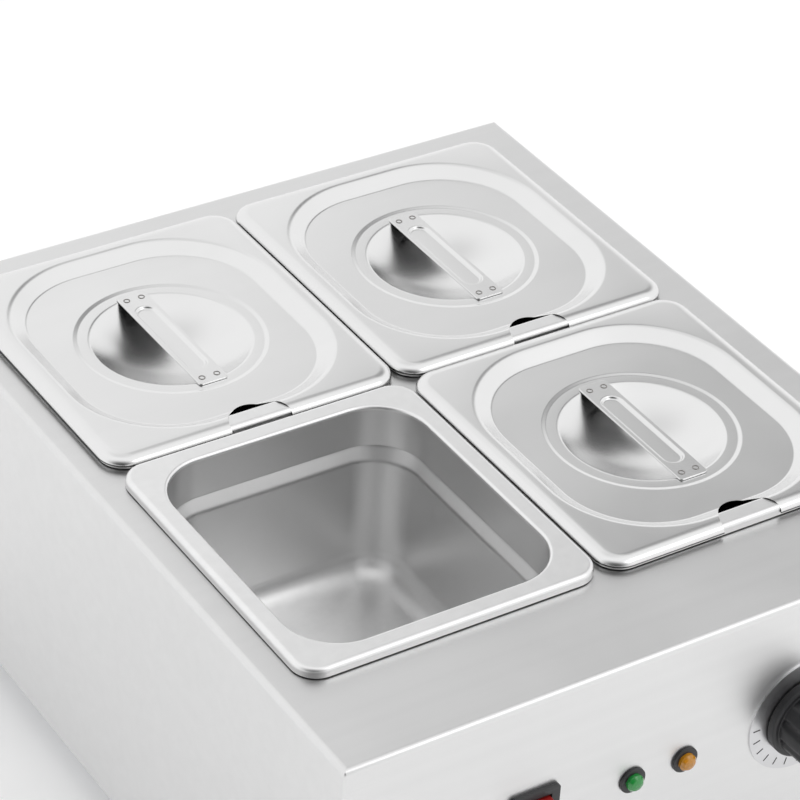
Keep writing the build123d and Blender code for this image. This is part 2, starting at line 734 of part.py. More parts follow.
with BuildPart() as bulb_clip:
    with BuildSketch(across_y(field_x, field_y + bulb_y + clip_width / 2, spreader_bottom)):
        clip_inside = bulb_diameter / 2 + bulb_gap
        clip_outside = clip_inside + clip_sheet
        with Locations((0, bulb_z - spreader_bottom)):
            Circle(clip_outside)
            Rectangle(2 * clip_outside, clip_inside, align=(Align.CENTER, Align.MIN))
        Rectangle(2 * (clip_outside + clip_foot), clip_sheet, align=(Align.CENTER, Align.MAX))
        with Locations((0, bulb_z - spreader_bottom)):
            Circle(clip_inside, mode=Mode.SUBTRACT)
            Rectangle(2 * clip_inside, clip_inside, align=(Align.CENTER, Align.MIN), mode=Mode.SUBTRACT)
        Rectangle(2 * clip_outside, clip_outside, align=(Align.CENTER, Align.MIN), mode=Mode.SUBTRACT)
    extrude(amount=clip_width)
save(bulb_clip, "bulb_clip")

# Rocker switch: a framed housing in the panel and the rocker on its two side pins
switch_face = panel_front - switch_bezel_sheet
pivot_y = switch_face + rocker_pivot_depth
pocket_width = switch_width - 2 * switch_wall
pocket_tall = switch_tall - 2 * switch_wall
with BuildPart() as switch_housing:
    with BuildSketch(across_y(switch_x, panel_front, control_z)):
        RectangleRounded(switch_width + 2 * switch_bezel, switch_tall + 2 * switch_bezel, switch_bezel)
    extrude(amount=switch_bezel_sheet)
    with BuildSketch(across_y(switch_x, panel_front, control_z)):
        Rectangle(switch_width, switch_tall)
    extrude(amount=-switch_deep)
    with BuildSketch(across_y(switch_x, switch_face, control_z)):
        Rectangle(pocket_width, pocket_tall)
    extrude(amount=-(switch_bezel_sheet + switch_deep - switch_floor), mode=Mode.SUBTRACT)
    with Locations(Location((switch_x, pivot_y, control_z), (0, 90, 0))):
        Cylinder(rocker_pin_diameter / 2 + rocker_pin_gap, pocket_width + 2 * rocker_pin_length,
                 mode=Mode.SUBTRACT)
save(switch_housing, "switch_housing")
rocker_width = pocket_width - 2 * rocker_side_gap
tilt_sin = sin(radians(rocker_tilt))
tilt_cos = cos(radians(rocker_tilt))
rocker_half = (pocket_tall / 2 - rocker_end_gap) * tilt_cos - rocker_face * tilt_sin
rocker_plane = Plane(origin=(switch_x, pivot_y, control_z), x_dir=(0, -tilt_sin, tilt_cos), z_dir=(1, 0, 0))
with BuildPart() as rocker:
    with BuildSketch(rocker_plane):
        with BuildLine():
            Polyline((-rocker_half, rocker_face), (0, rocker_face - rocker_dip), (rocker_half, rocker_face),
                     (rocker_half, -rocker_dip), (rocker_root, -rocker_root), (-rocker_root, -rocker_root),
                     (-rocker_half, -rocker_dip), close=True)
        make_face()
    extrude(amount=rocker_width / 2, both=True)
    with Locations(Location((switch_x, pivot_y, control_z), (0, 90, 0))):
        Cylinder(rocker_pin_diameter / 2, pocket_width + 2 * rocker_pin_length - 2 * rocker_side_gap)
save(rocker, "switch_rocker")

# Pilot lamps: holders through the panel, domed lenses in front
with BuildPart() as lamp_holders:
    with Locations(*[across_y(x, panel_front, control_z) for x in (power_lamp_x, heating_lamp_x)]):
        Cylinder(lamp_flange_diameter / 2, lamp_flange_height,
                 align=(Align.CENTER, Align.CENTER, Align.MIN))
        Cylinder(lamp_diameter / 2, lamp_deep, align=(Align.CENTER, Align.CENTER, Align.MAX))
save(lamp_holders, "lamp_holders")
for lamp_name, lamp_x in (("power_lamp_lens", power_lamp_x), ("heating_lamp_lens", heating_lamp_x)):
    lens_seat = panel_front - lamp_flange_height
    with BuildPart() as lens:
        with BuildSketch(across_y(lamp_x, lens_seat, control_z)):
            Circle(lamp_lens_diameter / 2)
        extrude(amount=lamp_lens_height)
        fillet(lens.faces().sort_by(Axis.Y)[0].edges(), lamp_lens_round)
    save(lens, lamp_name)

# Cord gland: a body with a hexagon against the rear panel, a dome nut outside and a lock nut inside
gland_nose = panel_rear + gland_hex_height + gland_dome_height
with BuildPart() as gland:
    with BuildSketch(across_y(gland_x, panel_rear, gland_z)):
        RegularPolygon(gland_hex / 2, 6, major_radius=False)
    extrude(amount=-gland_hex_height)
    with BuildSketch(across_y(gland_x, panel_rear, gland_z)):
        Circle(gland_thread / 2)
    extrude(amount=panel_sheet + lock_nut_height + gland_tail)
    with BuildSketch(across_y(gland_x, panel_rear, gland_z)):
        Circle(gland_sleeve_diameter / 2)
    extrude(amount=-(gland_hex_height + gland_dome_height))
    with BuildSketch(across_y(gland_x, gland_nose, gland_z)):
        Circle(gland_bore / 2)
    extrude(amount=gland_nose - panel_rear + panel_sheet + lock_nut_height + gland_tail, mode=Mode.SUBTRACT)
save(gland, "gland_body")
with BuildPart() as gland_dome:
    with BuildSketch(across_y(gland_x, panel_rear + gland_hex_height, gland_z)):
        Circle(gland_dome_diameter / 2)
    extrude(amount=-gland_dome_height)
    chamfer(gland_dome.faces().sort_by(Axis.Y)[-1].edges(), (gland_dome_diameter - gland_dome_nose) / 2)
    with BuildSketch(across_y(gland_x, panel_rear + gland_hex_height, gland_z)):
        Circle(gland_sleeve_diameter / 2 + gland_dome_gap)
    extrude(amount=-gland_dome_height, mode=Mode.SUBTRACT)
save(gland_dome, "gland_dome_nut")
with BuildPart() as gland_lock_nut:
    with BuildSketch(across_y(gland_x, panel_rear - panel_sheet, gland_z)):
        RegularPolygon(gland_hex / 2, 6, major_radius=False)
        Circle(gland_thread / 2 + nut_bore_gap, mode=Mode.SUBTRACT)
    extrude(amount=lock_nut_height)
save(gland_lock_nut, "gland_lock_nut")

# Terminal block on the base plate, with three screw wells in its top, and the earth stud beside it
block_middle = Plane((gland_x, rear_y - block_setback, base_top))
with BuildPart() as block:
    with BuildSketch(block_middle):
        RectangleRounded(block_width, block_deep, block_corner)
    extrude(amount=block_tall)
    with BuildSketch(block_middle.offset(block_tall)):
        with GridLocations(block_pitch, 1, 3, 1):
            Circle(block_bore / 2)
    extrude(amount=-block_bore_depth, mode=Mode.SUBTRACT)
save(block, "terminal_block")
earth_place = (gland_x - earth_side, rear_y - earth_setback)
with BuildPart() as earth_stud:
    with BuildSketch(Plane((*earth_place, foot_height))):
        Circle(stud_diameter / 2)
    extrude(amount=earth_stud_length)
save(earth_stud, "earth_stud")
with BuildPart() as earth_nut:
    with BuildSketch(Plane((*earth_place, base_top))):
        RegularPolygon(nut_across / 2, 6, major_radius=False)
        Circle(stud_diameter / 2 + nut_bore_gap, mode=Mode.SUBTRACT)
    extrude(amount=nut_height)
save(earth_nut, "earth_nut")

# Wiring: supply to the switch, on to the thermostat, on to the element and back, and the earth lead
switch_back = panel_front + switch_deep
thermostat_back = panel_back + thermostat_deep
thermostat_under = control_z - thermostat_tall / 2
pin_front = tail_y - terminal_bush_length - terminal_pin_length
block_front = rear_y - block_setback - block_deep / 2
block_z = base_top + block_tall / 3
earth_z = base_top + nut_height / 2
low_z = control_z - wire_offset
rise_front = front_y + wire_rise_front
rise_middle = front_y + wire_rise_middle
rise_rear = front_y + wire_rise_rear
wire_paths = (
    ((gland_x + block_pitch, block_front, block_z), (gland_x + block_pitch, rise_middle, block_z),
     (gland_x + block_pitch, rise_middle, control_z), (switch_x + wire_offset, rise_middle, control_z),
     (switch_x + wire_offset, switch_back, control_z)),
    ((switch_x - wire_offset, switch_back, low_z), (switch_x - wire_offset, rise_rear, low_z),
     (knob_x + wire_offset, rise_rear, low_z), (knob_x + wire_offset, thermostat_back, low_z)),
    ((knob_x - wire_offset, rise_front, thermostat_under), (knob_x - wire_offset, rise_front, element_z),
     (first_run_x, rise_front, element_z), (first_run_x, pin_front, element_z)),
    ((gland_x, block_front, block_z), (gland_x, rise_front, block_z), (gland_x, rise_front, element_z),
     (last_run_x, rise_front, element_z), (last_run_x, pin_front, element_z)),
    ((gland_x - block_width / 2, rear_y - block_setback, earth_z),
     (earth_place[0], rear_y - block_setback, earth_z),
     (earth_place[0], earth_place[1] - nut_across / 2, earth_z)),
)
with BuildPart() as wiring:
    for path in wire_paths:
        with BuildLine():
            wire_line = FilletPolyline(*path, radius=wire_bend)
        with BuildSketch(Plane(origin=wire_line @ 0, z_dir=wire_line % 0)):
            Circle(wire_diameter / 2)
        sweep()
save(wiring, "wiring")

# Rubber feet with their screws and nuts
for (foot_x, foot_y), side in zip(foot_places, ("front_left", "rear_left", "front_right", "rear_right")):
    with BuildPart() as foot:
        with BuildSketch(Plane((foot_x, foot_y, 0), x_dir=(1, 0, 0), z_dir=(0, -1, 0))):
            with BuildLine():
                Polyline((0, 0), (foot_bottom_diameter / 2, 0), (foot_top_diameter / 2, foot_height),
                         (0, foot_height), close=True)
            make_face()
        revolve(axis=Axis((foot_x, foot_y, 0), (0, 0, 1)))
        with Locations((foot_x, foot_y, 0)):
            Cylinder(foot_counterbore / 2, foot_counterbore_depth,
                     align=(Align.CENTER, Align.CENTER, Align.MIN), mode=Mode.SUBTRACT)
            Cylinder(foot_screw_diameter / 2 + foot_screw_gap, foot_height,
                     align=(Align.CENTER, Align.CENTER, Align.MIN), mode=Mode.SUBTRACT)
    save(foot, f"foot_{side}")
with BuildPart() as foot_screws:
    with Locations(*[(x, y, foot_counterbore_depth) for x, y in foot_places]):
        Cylinder(foot_screw_head / 2, foot_screw_head_height, align=(Align.CENTER, Align.CENTER, Align.MAX))
        Cylinder(foot_screw_diameter / 2, base_top + nut_height + stud_tail - foot_counterbore_depth,
                 align=(Align.CENTER, Align.CENTER, Align.MIN))
save(foot_screws, "foot_screws")
with BuildPart() as foot_nuts:
    with BuildSketch(Plane.XY.offset(base_top)):
        with Locations(*foot_places):
            RegularPolygon(nut_across / 2, 6, major_radius=False)
            Circle(foot_screw_diameter / 2 + nut_bore_gap, mode=Mode.SUBTRACT)
    extrude(amount=nut_height)
save(foot_nuts, "foot_nuts")
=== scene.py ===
"""Dresses a chocolate melter: drawn pans, stamped lids, folded casing, controls and a white studio."""

import math

import bmesh
import bpy
from bpy.props import FloatProperty, FloatVectorProperty, IntProperty, PointerProperty
from mathutils import Matrix, Vector


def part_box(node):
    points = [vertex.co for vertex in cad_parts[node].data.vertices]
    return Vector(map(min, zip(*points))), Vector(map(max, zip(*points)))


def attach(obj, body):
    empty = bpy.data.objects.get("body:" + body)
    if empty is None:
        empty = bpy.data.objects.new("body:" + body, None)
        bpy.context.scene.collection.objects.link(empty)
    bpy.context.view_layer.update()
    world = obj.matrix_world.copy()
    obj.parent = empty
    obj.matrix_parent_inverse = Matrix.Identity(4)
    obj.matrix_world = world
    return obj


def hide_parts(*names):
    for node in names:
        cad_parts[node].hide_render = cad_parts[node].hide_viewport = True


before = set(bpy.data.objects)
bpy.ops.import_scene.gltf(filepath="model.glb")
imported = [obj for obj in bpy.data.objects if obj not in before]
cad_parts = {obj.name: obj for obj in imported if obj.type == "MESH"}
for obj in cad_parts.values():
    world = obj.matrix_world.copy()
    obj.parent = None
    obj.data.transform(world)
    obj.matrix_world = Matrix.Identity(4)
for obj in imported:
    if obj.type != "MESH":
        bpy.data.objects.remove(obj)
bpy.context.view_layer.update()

bl_info = {
    "name": "Chocolate Melter",
    "version": (1, 0, 0),
    "blender": (4, 5, 0),
    "location": "View3D > Sidebar > Melter",
    "description": "Builds the visible surfaces of a four-pan chocolate melter on its solid model",
    "category": "Object",
}

MM = 0.001
PLACES = ("rear_left", "rear_right", "front_left", "front_right")
LIDDED = ("rear_left", "rear_right", "front_right")
# An edge that turns by more than this stays sharp
SHARP = math.radians(28)
# Share of a straight that the arc at one of its ends may take
ARC_SHARE = 0.49
# Colour sockets of the Mix node, which has several of the same name
MIX_FIRST, MIX_SECOND, MIX_RESULT = 6, 7, 2
# Depth of the brush lines in steel, and swells in a metre of thin sheet
BRUSH_DEPTH = 0.02 * MM
SWELLS = 13.0
# Roughness that handling adds to steel, and that grain adds to the other finishes
HANDLED, GRAINED = 0.05, 0.12
# Corners of a lamp's lens, as shares of its radius and height, each with its round in moulded edges
LENS_DOME = ((0.25, 0.0, 0.0), (1.0, 0.0, 0.5), (1.0, 0.5, 1.0), (0.72, 0.86, 2.0), (0.3, 1.0, 2.0),
             (0.05, 1.0, 0.0))
# Width of the camera's sensor in millimetres
SENSOR = 36.0
# Tones of the cards and of the dark room, as (degrees from the middle, tone)
SIDE_TONES = ((20, 1.0), (15, 0.88), (11, 0.55), (7, 0.25))
TOP_TONES = ((22, 1.0), (14, 0.92), (9, 0.84), (4, 0.78))
ROOM_TONES = ((52, 1.0), (38, 0.6), (24, 0.2), (12, 0.08))


def millimetres(name, description, default):
    """Property that holds a length, with its default in millimetres."""
    return FloatProperty(name=name, description=description, default=default * MM, unit="LENGTH")


def degrees(name, description, default):
    """Property that holds an angle, with its default in degrees."""
    return FloatProperty(name=name, description=description, default=math.radians(default), subtype="ANGLE")


def vector(name, description, default, subtype="XYZ"):
    """Property that holds three values, such as a direction."""
    return FloatVectorProperty(name=name, description=description, default=default, subtype=subtype, size=3)


def finish_colour(name, description, default):
    """Property that holds a finish's colour."""
    return vector(name, description, default, "COLOR")


class PanSettings(bpy.types.PropertyGroup):
    """Sizes of the drop-in pans."""

    sheet: millimetres("Sheet", "Thickness of the drawn sheet", 0.8)
    flange: millimetres("Flange", "Width of the flat rim", 10.75)
    rim_height: millimetres("Rim height", "Height of the turned-down rim", 5.2)
    rim_round: millimetres("Rim round", "Radius of the rolled rim", 4.0)
    edge: millimetres("Edge", "Radius of the rim's lower edges", 0.3)
    rim_corner: millimetres("Rim corner", "Corner radius of the rim seen from above", 13)
    mouth_corner: millimetres("Mouth corner", "Corner radius of the mouth seen from above", 28)
    mouth_round: millimetres("Mouth round", "Radius where the rim turns into the wall", 1.6)
    shoulder_depth: millimetres("Shoulder depth", "Depth of the stacking shoulder under the rim", 23)
    shoulder_drop: millimetres("Shoulder drop", "Height of the shoulder's slope", 7)
    shoulder_step: millimetres("Shoulder step", "Inward step of the shoulder", 3.6)
    upper_draft: degrees("Upper draft", "Wall slope above the shoulder", 1.0)
    lower_draft: degrees("Lower draft", "Wall slope below the shoulder", 3.5)
    shoulder_top: millimetres("Shoulder top", "Radius over the shoulder's slope", 1.2)
    shoulder_foot: millimetres("Shoulder foot", "Radius under the shoulder's slope", 8)
    floor_round: millimetres("Floor round", "Radius between wall and floor", 13)


class LidSettings(bpy.types.PropertyGroup):
    """Sizes of the stamped lids."""

    sheet: millimetres("Sheet", "Thickness of the stamped sheet", 0.7)
    corner: millimetres("Corner", "Corner radius seen from above", 14)
    brim_drop: millimetres("Brim drop", "Height of the rounded brim", 4.2)
    brim_run: millimetres("Brim run", "Width of the rounded brim seen from above", 6.5)
    recess_inset: millimetres("Recess inset", "Distance from the edge to the sunken panel's outline", 9.6)
    recess_corner: millimetres("Recess corner", "Corner radius of the sunken panel's outline", 55)
    recess_depth: millimetres("Recess depth", "Depth of the sunken panel", 5)
    recess_run: millimetres("Recess run", "Width of the slope seen from above", 8.4)
    recess_edge: millimetres("Recess edge", "Radius at the top of the slope", 9)
    recess_foot: millimetres("Recess foot", "Radius at the foot of the slope", 2.5)
    dish_radius: millimetres("Dish radius", "Radius of the finger dish at the panel", 41.5)
    dish_depth: millimetres("Dish depth", "Depth of the finger dish under its seat", 13)
    dish_round: millimetres("Dish round", "Radius where the seat turns down into the dish", 3)
    seat_radius: millimetres("Seat radius", "Radius of the handle's round seat in the panel", 48.5)
    seat_drop: millimetres("Seat drop", "Depth of the handle's seat under the panel", 0.45)
    seat_run: millimetres("Seat run", "Width of the slope round the seat", 2)
    seat_round: millimetres("Seat round", "Radius of the bends round the seat", 3)
    notch_width: millimetres("Notch width", "Width of the ladle notch in front", 34)
    notch_end: millimetres("Notch end", "Width of the ladle notch's round end", 22)
    notch_depth: millimetres("Notch depth", "Depth of the ladle notch", 20.5)
    notch_shift: millimetres("Notch shift", "The ladle notch's place right of the lid's middle", 1.5)


class HandleSettings(bpy.types.PropertyGroup):
    """Sizes of the strip handles."""

    sheet: millimetres("Sheet", "Thickness of the strip", 1.0)
    corner: millimetres("Corner", "Corner radius of the strip's ends", 2.0)
    edge: millimetres("Edge", "Radius of the strip's edges", 0.3)
    fold: millimetres("Fold", "Radius of the channel's edges", 1.1)
    channel_width: millimetres("Channel width", "Width of the pressed channel", 10.5)
    channel_margin: millimetres("Channel margin", "Distance from the strip's end to the channel", 13.5)
    channel_depth: millimetres("Channel depth", "Depth of the pressed channel", 1.4)
    spot_radius: millimetres("Weld spot radius", "Radius of a weld spot", 1.5)
    spot_height: millimetres("Weld spot height", "Height of a weld spot's rim", 0.3)
    spot_inset: millimetres("Weld spot inset", "Distance from the strip's end to its weld spots", 5.0)
    spot_spread: millimetres("Weld spot spread", "Distance between two weld spots", 8.5)


class CasingSettings(bpy.types.PropertyGroup):
    """Sizes of the folded casing and its screws."""

    sheet: millimetres("Sheet", "Thickness of the casing sheet", 1.0)
    bend: millimetres("Bend radius", "Outer radius of the folds", 3.0)
    lip: millimetres("Lip", "Height of the lips over the front and rear panels", 12)
    cutout_gap: millimetres("Cut-out gap", "Clearance round each pan in the deck", 1.0)
    corner: millimetres("Corner", "Radius of the welded upright corners", 1.2)
    screw_radius: millimetres("Screw head radius", "Radius of a casing screw's head", 3.5)
    screw_height: millimetres("Screw head height", "Height of a casing screw's head", 1.95)
    screw_slot: millimetres("Screw slot", "Width of the cross recess in a screw's head", 0.9)
    screw_edge: millimetres("Screw edge", "Panel screws' distance from the front and rear edges", 9)
    screw_low: millimetres("Low screws", "Height of the lower panel screws over the casing's edge", 35)
    screw_high: millimetres("High screws", "Height of the upper panel screws over the casing's edge", 140)
    base_screw_inset: millimetres("Base screw inset", "Base screws' distance from front and rear", 90)
    base_screw_height: millimetres("Base screw height", "Base screws' height over the casing's edge", 8)


class ControlSettings(bpy.types.PropertyGroup):
    """Sizes of the knob, the dial and the small fittings."""

    knob_flutes: IntProperty(name="Knob flutes", description="Grip flutes round the knob",
                             default=10, min=3)
    knob_bite: millimetres("Flute depth", "Depth of a grip flute", 1.4)
    knob_edge: millimetres("Knob edge", "Radius of the knob's front edge", 1.6)
    knob_step: millimetres("Skirt step", "Width of the skirt beyond the knob's body", 3.0)
    knob_skirt: millimetres("Skirt height", "Height of the knob's skirt", 5.0)
    pointer_width: millimetres("Pointer width", "Width of the pointer's groove", 2.0)
    pointer_depth: millimetres("Pointer depth", "Depth of the pointer's groove", 0.8)
    dial_ticks: IntProperty(name="Dial ticks", description="Marks round the dial", default=19, min=2)
    dial_sweep: degrees("Dial sweep", "Angle from the first mark to the last", 270)
    tick_length: millimetres("Tick length", "Length of a dial mark", 4.0)
    tick_width: millimetres("Tick width", "Width of a dial mark", 0.7)
    tick_height: millimetres("Tick height", "Thickness of a dial mark", 0.1)
    edge: millimetres("Moulded edge", "Radius of moulded edges", 0.5)


class FootSettings(bpy.types.PropertyGroup):
    """Sizes of the rubber feet."""

    taper: millimetres("Taper", "How much smaller a foot is below than above", 3)
    recess: millimetres("Recess", "Radius of the screw's recess", 6)
    recess_depth: millimetres("Recess depth", "Depth of the screw's recess", 14)
    bore: millimetres("Bore", "Radius of the screw's hole", 2.7)
    edge: millimetres("Edge", "Radius of the lower edge", 1.5)


class FinishSettings(bpy.types.PropertyGroup):
    """Colours of the finishes."""

    lid: finish_colour("Lid steel", "Colour of the polished lids", (0.81, 0.81, 0.81))
    # Painted shadow: near-black on the lids' upright faces, in place of the shadow in the gap under their
    # edges
    painted_gap_shadow: finish_colour("Painted gap shadow", "Colour painted on the lids' upright edges as the shadow of the gap under them", (0.05, 0.05, 0.05))
    weld: finish_colour("Spot weld", "Colour of the handles' weld spots", (0.30, 0.29, 0.28))
    # Painted shade: darker colour mixed into the pans' walls for the shade inside the pans
    wall: finish_colour("Pan wall shade", "Colour painted on the pans' walls as the shade inside the pans", (0.68, 0.68, 0.68))
    pan: finish_colour("Pan steel", "Colour of the pans' rims", (0.88, 0.88, 0.88))
    casing: finish_colour("Casing steel", "Colour of the folded casing", (0.78, 0.78, 0.78))
    plastic: finish_colour("Plastic", "Colour of the moulded controls", (0.022, 0.022, 0.024))
    rubber: finish_colour("Rubber", "Colour of the feet", (0.03, 0.03, 0.03))
    # Painted shade: dark colour on the handles' downward faces, in place of the shade under them
    underside: finish_colour("Handle underside shade", "Colour painted on the handles' downward faces as their shade",
                             (0.10, 0.10, 0.10))
    screw: finish_colour("Screw steel", "Colour of the casing's screws", (0.78, 0.78, 0.78))
    zinc: finish_colour("Zinc", "Colour of the plated steel", (0.55, 0.56, 0.58))
    rocker: finish_colour("Rocker", "Colour of the switch's rocker", (0.30, 0.012, 0.010))
    power_lens: finish_colour("Power lens", "Colour of the power lamp's lens", (0.02, 0.35, 0.06))
    heating_lens: finish_colour("Heating lens", "Colour of the heating lamp's lens", (0.75, 0.28, 0.01))
    dial: finish_colour("Dial", "Colour of the dial plate", (0.70, 0.70, 0.71))
    ink: finish_colour("Dial ink", "Colour of the dial's marks", (0.03, 0.03, 0.03))
    pointer: finish_colour("Pointer", "Colour of the knob's pointer line", (0.78, 0.78, 0.76))
    paper: finish_colour("Paper", "Colour of the floor's paper", (0.92, 0.92, 0.92))


class StageSettings(bpy.types.PropertyGroup):
    """Camera and light."""

    azimuth: degrees("Azimuth", "Camera's turn round the melter", -34.23)
    elevation: degrees("Elevation", "Camera's height angle", 34.94)
    roll: degrees("Roll", "Camera's tilt about its axis", 3.53)
    distance: FloatProperty(name="Distance", description="Camera's distance to the pans' meeting point",
                            default=1.7346, unit="LENGTH")
    lens: FloatProperty(name="Lens", description="Focal length in millimetres",
                        default=156.7, unit="CAMERA")
    aim_right: millimetres("Aim right", "Meeting point's place right of the picture's middle", 1.933)
    aim_up: millimetres("Aim up", "Meeting point's place above the picture's middle", 12.05)
    side_card: vector("Side card", "Direction of the grey card behind the melter's right",
                      (0.57, 0.48, 0.67))
    top_card: vector("Top card", "Direction of the dark card above the melter", (0.13, 0.39, 0.91))
    room: vector("Dark room", "Direction of the dark room in front of the melter", (-0.56, -0.74, 0.37))
    surround: FloatProperty(name="Surround", description="Strength of the pale surround", default=1.03)
    lamp: FloatProperty(name="Front lamp", description="Power of the soft light in front of the melter",
                        default=2.0, unit="POWER")
    lamp_place: vector("Lamp place", "Place of the front lamp", (0.62, -0.92, 1.35), "TRANSLATION")
    lamp_aim: vector("Lamp aim", "Point that the front lamp looks at", (0.0, 0.0, 0.2), "TRANSLATION")
    lamp_size: FloatVectorProperty(name="Lamp size", description="Width and height of the front lamp",
                                   default=(1.0, 0.6), unit="LENGTH", size=2)
    floor_reach: FloatProperty(name="Floor reach",
                               description="Distance from the melter's middle to the floor's edges",
                               default=6.0, unit="LENGTH")
    floor_glow: FloatProperty(name="Floor glow", description="How far the floor is lifted towards white",
                              default=0.2, subtype="FACTOR")


def props():
    """Settings of the current scene."""
    return bpy.context.scene.melter


class MelterSettings(bpy.types.PropertyGroup):
    """All settings of the melter."""

    pan: PointerProperty(type=PanSettings, name="Pans", description="Sizes of the pans")
    lid: PointerProperty(type=LidSettings, name="Lids", description="Sizes of the lids")
    handle: PointerProperty(type=HandleSettings, name="Handles", description="Sizes of the handles")
    casing: PointerProperty(type=CasingSettings, name="Casing", description="Sizes of the casing")
    control: PointerProperty(type=ControlSettings, name="Controls", description="Sizes of the controls")
    foot: PointerProperty(type=FootSettings, name="Feet", description="Sizes of the feet")
    finish: PointerProperty(type=FinishSettings, name="Finishes", description="Colours of the finishes")
    stage: PointerProperty(type=StageSettings, name="Stage", description="Camera and light")


# Helpers


def measured(node):
    """Low corner, high corner, half size and centre of a CAD node's box."""
    low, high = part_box(node)
    return low, high, (high - low) / 2, (low + high) / 2


def eased(points, steps=7, support=0.25 * MM):
    """Profile with its corners (x, z, radius) as arcs, and support points on the straights beside them."""
    out = []
    last = len(points) - 1
    for index, (x, z, radius) in enumerate(points):
        corner = Vector((x, z))
        if radius == 0 or index in (0, last):
            out.append((x, z))
            continue
        to_before = Vector(points[index - 1][:2]) - corner
        to_after = Vector(points[index + 1][:2]) - corner
        before, after = to_before.normalized(), to_after.normalized()
        half = before.angle(after) / 2
        reach = min(radius / math.tan(half), ARC_SHARE * to_before.length, ARC_SHARE * to_after.length)
        bisector = (before + after).normalized()
        middle = corner + bisector * (reach / math.cos(half))
        start, end = corner + before * reach - middle, corner + after * reach - middle
        turn = start.angle_signed(end)
        if to_before.length > reach + 3 * support:
            out.append(tuple(corner + before * (reach + support)))
        for k in range(steps + 1):
            out.append(tuple(middle + Matrix.Rotation(-turn * k / steps, 2) @ start))
        if to_after.length > reach + 3 * support:
            out.append(tuple(corner + after * (reach + support)))
    return out


def rounded_loop(half_x, half_y, radius, corner_steps=16, side_steps=1):
    """Counter-clockwise points of a rounded rectangle, the same count for every size."""
    radius = min(radius, half_x, half_y)
    arcs = []
    for sign_x, sign_y, start in ((1, 1, 0), (-1, 1, 90), (-1, -1, 180), (1, -1, 270)):
        middle = Vector((sign_x * (half_x - radius), sign_y * (half_y - radius)))
        angles = [math.radians(start + 90 * k / corner_steps) for k in range(corner_steps + 1)]
        arcs.append([middle + radius * Vector((math.cos(a), math.sin(a))) for a in angles])
    loop = []
    for index, arc in enumerate(arcs):
        loop.extend(arc)
        following = arcs[(index + 1) % 4][0]
        loop.extend(arc[-1].lerp(following, k / side_steps) for k in range(1, side_steps))
    return loop


def tapered_loop(front, back, apart, steps=24):
    """Counter-clockwise outline round a circle at the origin and a smaller one behind it."""
    lean = math.asin((front - back) / apart)
    behind = [lean + (math.pi - 2 * lean) * k / steps for k in range(steps + 1)]
    ahead = [math.pi - lean + (math.pi + 2 * lean) * k / steps for k in range(steps + 1)]
    return ([Vector((back * math.cos(a), apart + back * math.sin(a))) for a in behind]
            + [Vector((front * math.cos(a), front * math.sin(a))) for a in ahead])


def circle_loop(radius, guide):
    """Points on a circle at the angles of a guide loop's points."""
    return [radius * point.normalized() for point in guide]


def shade(mesh):
    """Smooth shading with sharp edges kept where the surface turns."""
    work = bmesh.new()
    work.from_mesh(mesh)
    for face in work.faces:
        face.smooth = True
    for edge in work.edges:
        edge.smooth = len(edge.link_faces) == 2 and edge.calc_face_angle(0) < SHARP
    work.to_mesh(mesh)
    work.free()
    return mesh


def skin(loops, fans=(True, True), ring=False):
    """Closed mesh through loops of 3-D points; the ends become fans or single faces, or meet in a ring."""
    work = bmesh.new()
    rows = [[work.verts.new(point) for point in loop] for loop in loops]
    pairs = list(zip(rows, rows[1:]))
    if ring:
        pairs.append((rows[-1], rows[0]))
    for low, high in pairs:
        for k in range(len(low)):
            following = (k + 1) % len(low)
            work.faces.new((low[k], low[following], high[following], high[k]))
    if not ring:
        for row, fan in ((rows[0], fans[0]), (rows[-1], fans[1])):
            if not fan:
                work.faces.new(row)
                continue
            tip = work.verts.new(sum((vert.co for vert in row), Vector()) / len(row))
            for k in range(len(row)):
                work.faces.new((row[k], row[(k + 1) % len(row)], tip))
    bmesh.ops.recalc_face_normals(work, faces=work.faces[:])
    mesh = bpy.data.meshes.new("skin")
    work.to_mesh(mesh)
    work.free()
    return mesh


def lathe(profile, place, segments, ring=False):
    """Closed mesh of revolution; profile holds (radius, height) and place turns and moves it."""
    loops = []
    for radius, height in profile:
        circle = [(radius * math.cos(a), radius * math.sin(a), height)
                  for a in (2 * math.pi * k / segments for k in range(segments))]
        loops.append([place @ Vector(point) for point in circle])
    return skin(loops, ring=ring)


def facing_front(point):
    """Placing matrix whose height axis points out of the front panel."""
    return Matrix.Translation(point) @ Matrix.Rotation(math.radians(90), 4, "X")


def baked(obj):
    """Plain mesh of an object with its modifiers applied."""
    graph = bpy.context.evaluated_depsgraph_get()
    graph.update()
    return bpy.data.meshes.new_from_object(obj.evaluated_get(graph))


def carved(mesh, cutters):
    """Mesh with closed cutter meshes taken out of it."""
    target = bpy.data.objects.new("carving", mesh)
    bpy.context.scene.collection.objects.link(target)
    helpers = []
    for cutter in cutters:
        helper = bpy.data.objects.new("cutter", cutter)
        bpy.context.scene.collection.objects.link(helper)
        helpers.append(helper)
        cut = target.modifiers.new("Cut", "BOOLEAN")
        cut.operation = "DIFFERENCE"
        cut.solver = "EXACT"
        cut.object = helper
    result = baked(target)
    for helper in [target, *helpers]:
        used = helper.data
        bpy.data.objects.remove(helper)
        bpy.data.meshes.remove(used)
    if not result.polygons:
        raise RuntimeError("a cut left nothing of its piece")
    return result


def raised(outline, centre, height):
    """Flat outline moved to a centre and lifted to a height."""
    return [Vector((centre.x + point.x, centre.y + point.y, height)) for point in outline]


def prism(centre, outline, low, high):
    """Upright block with the given outline, used as a cutter."""
    return skin([raised(outline, centre, height) for height in (low, high)], fans=(False, False))


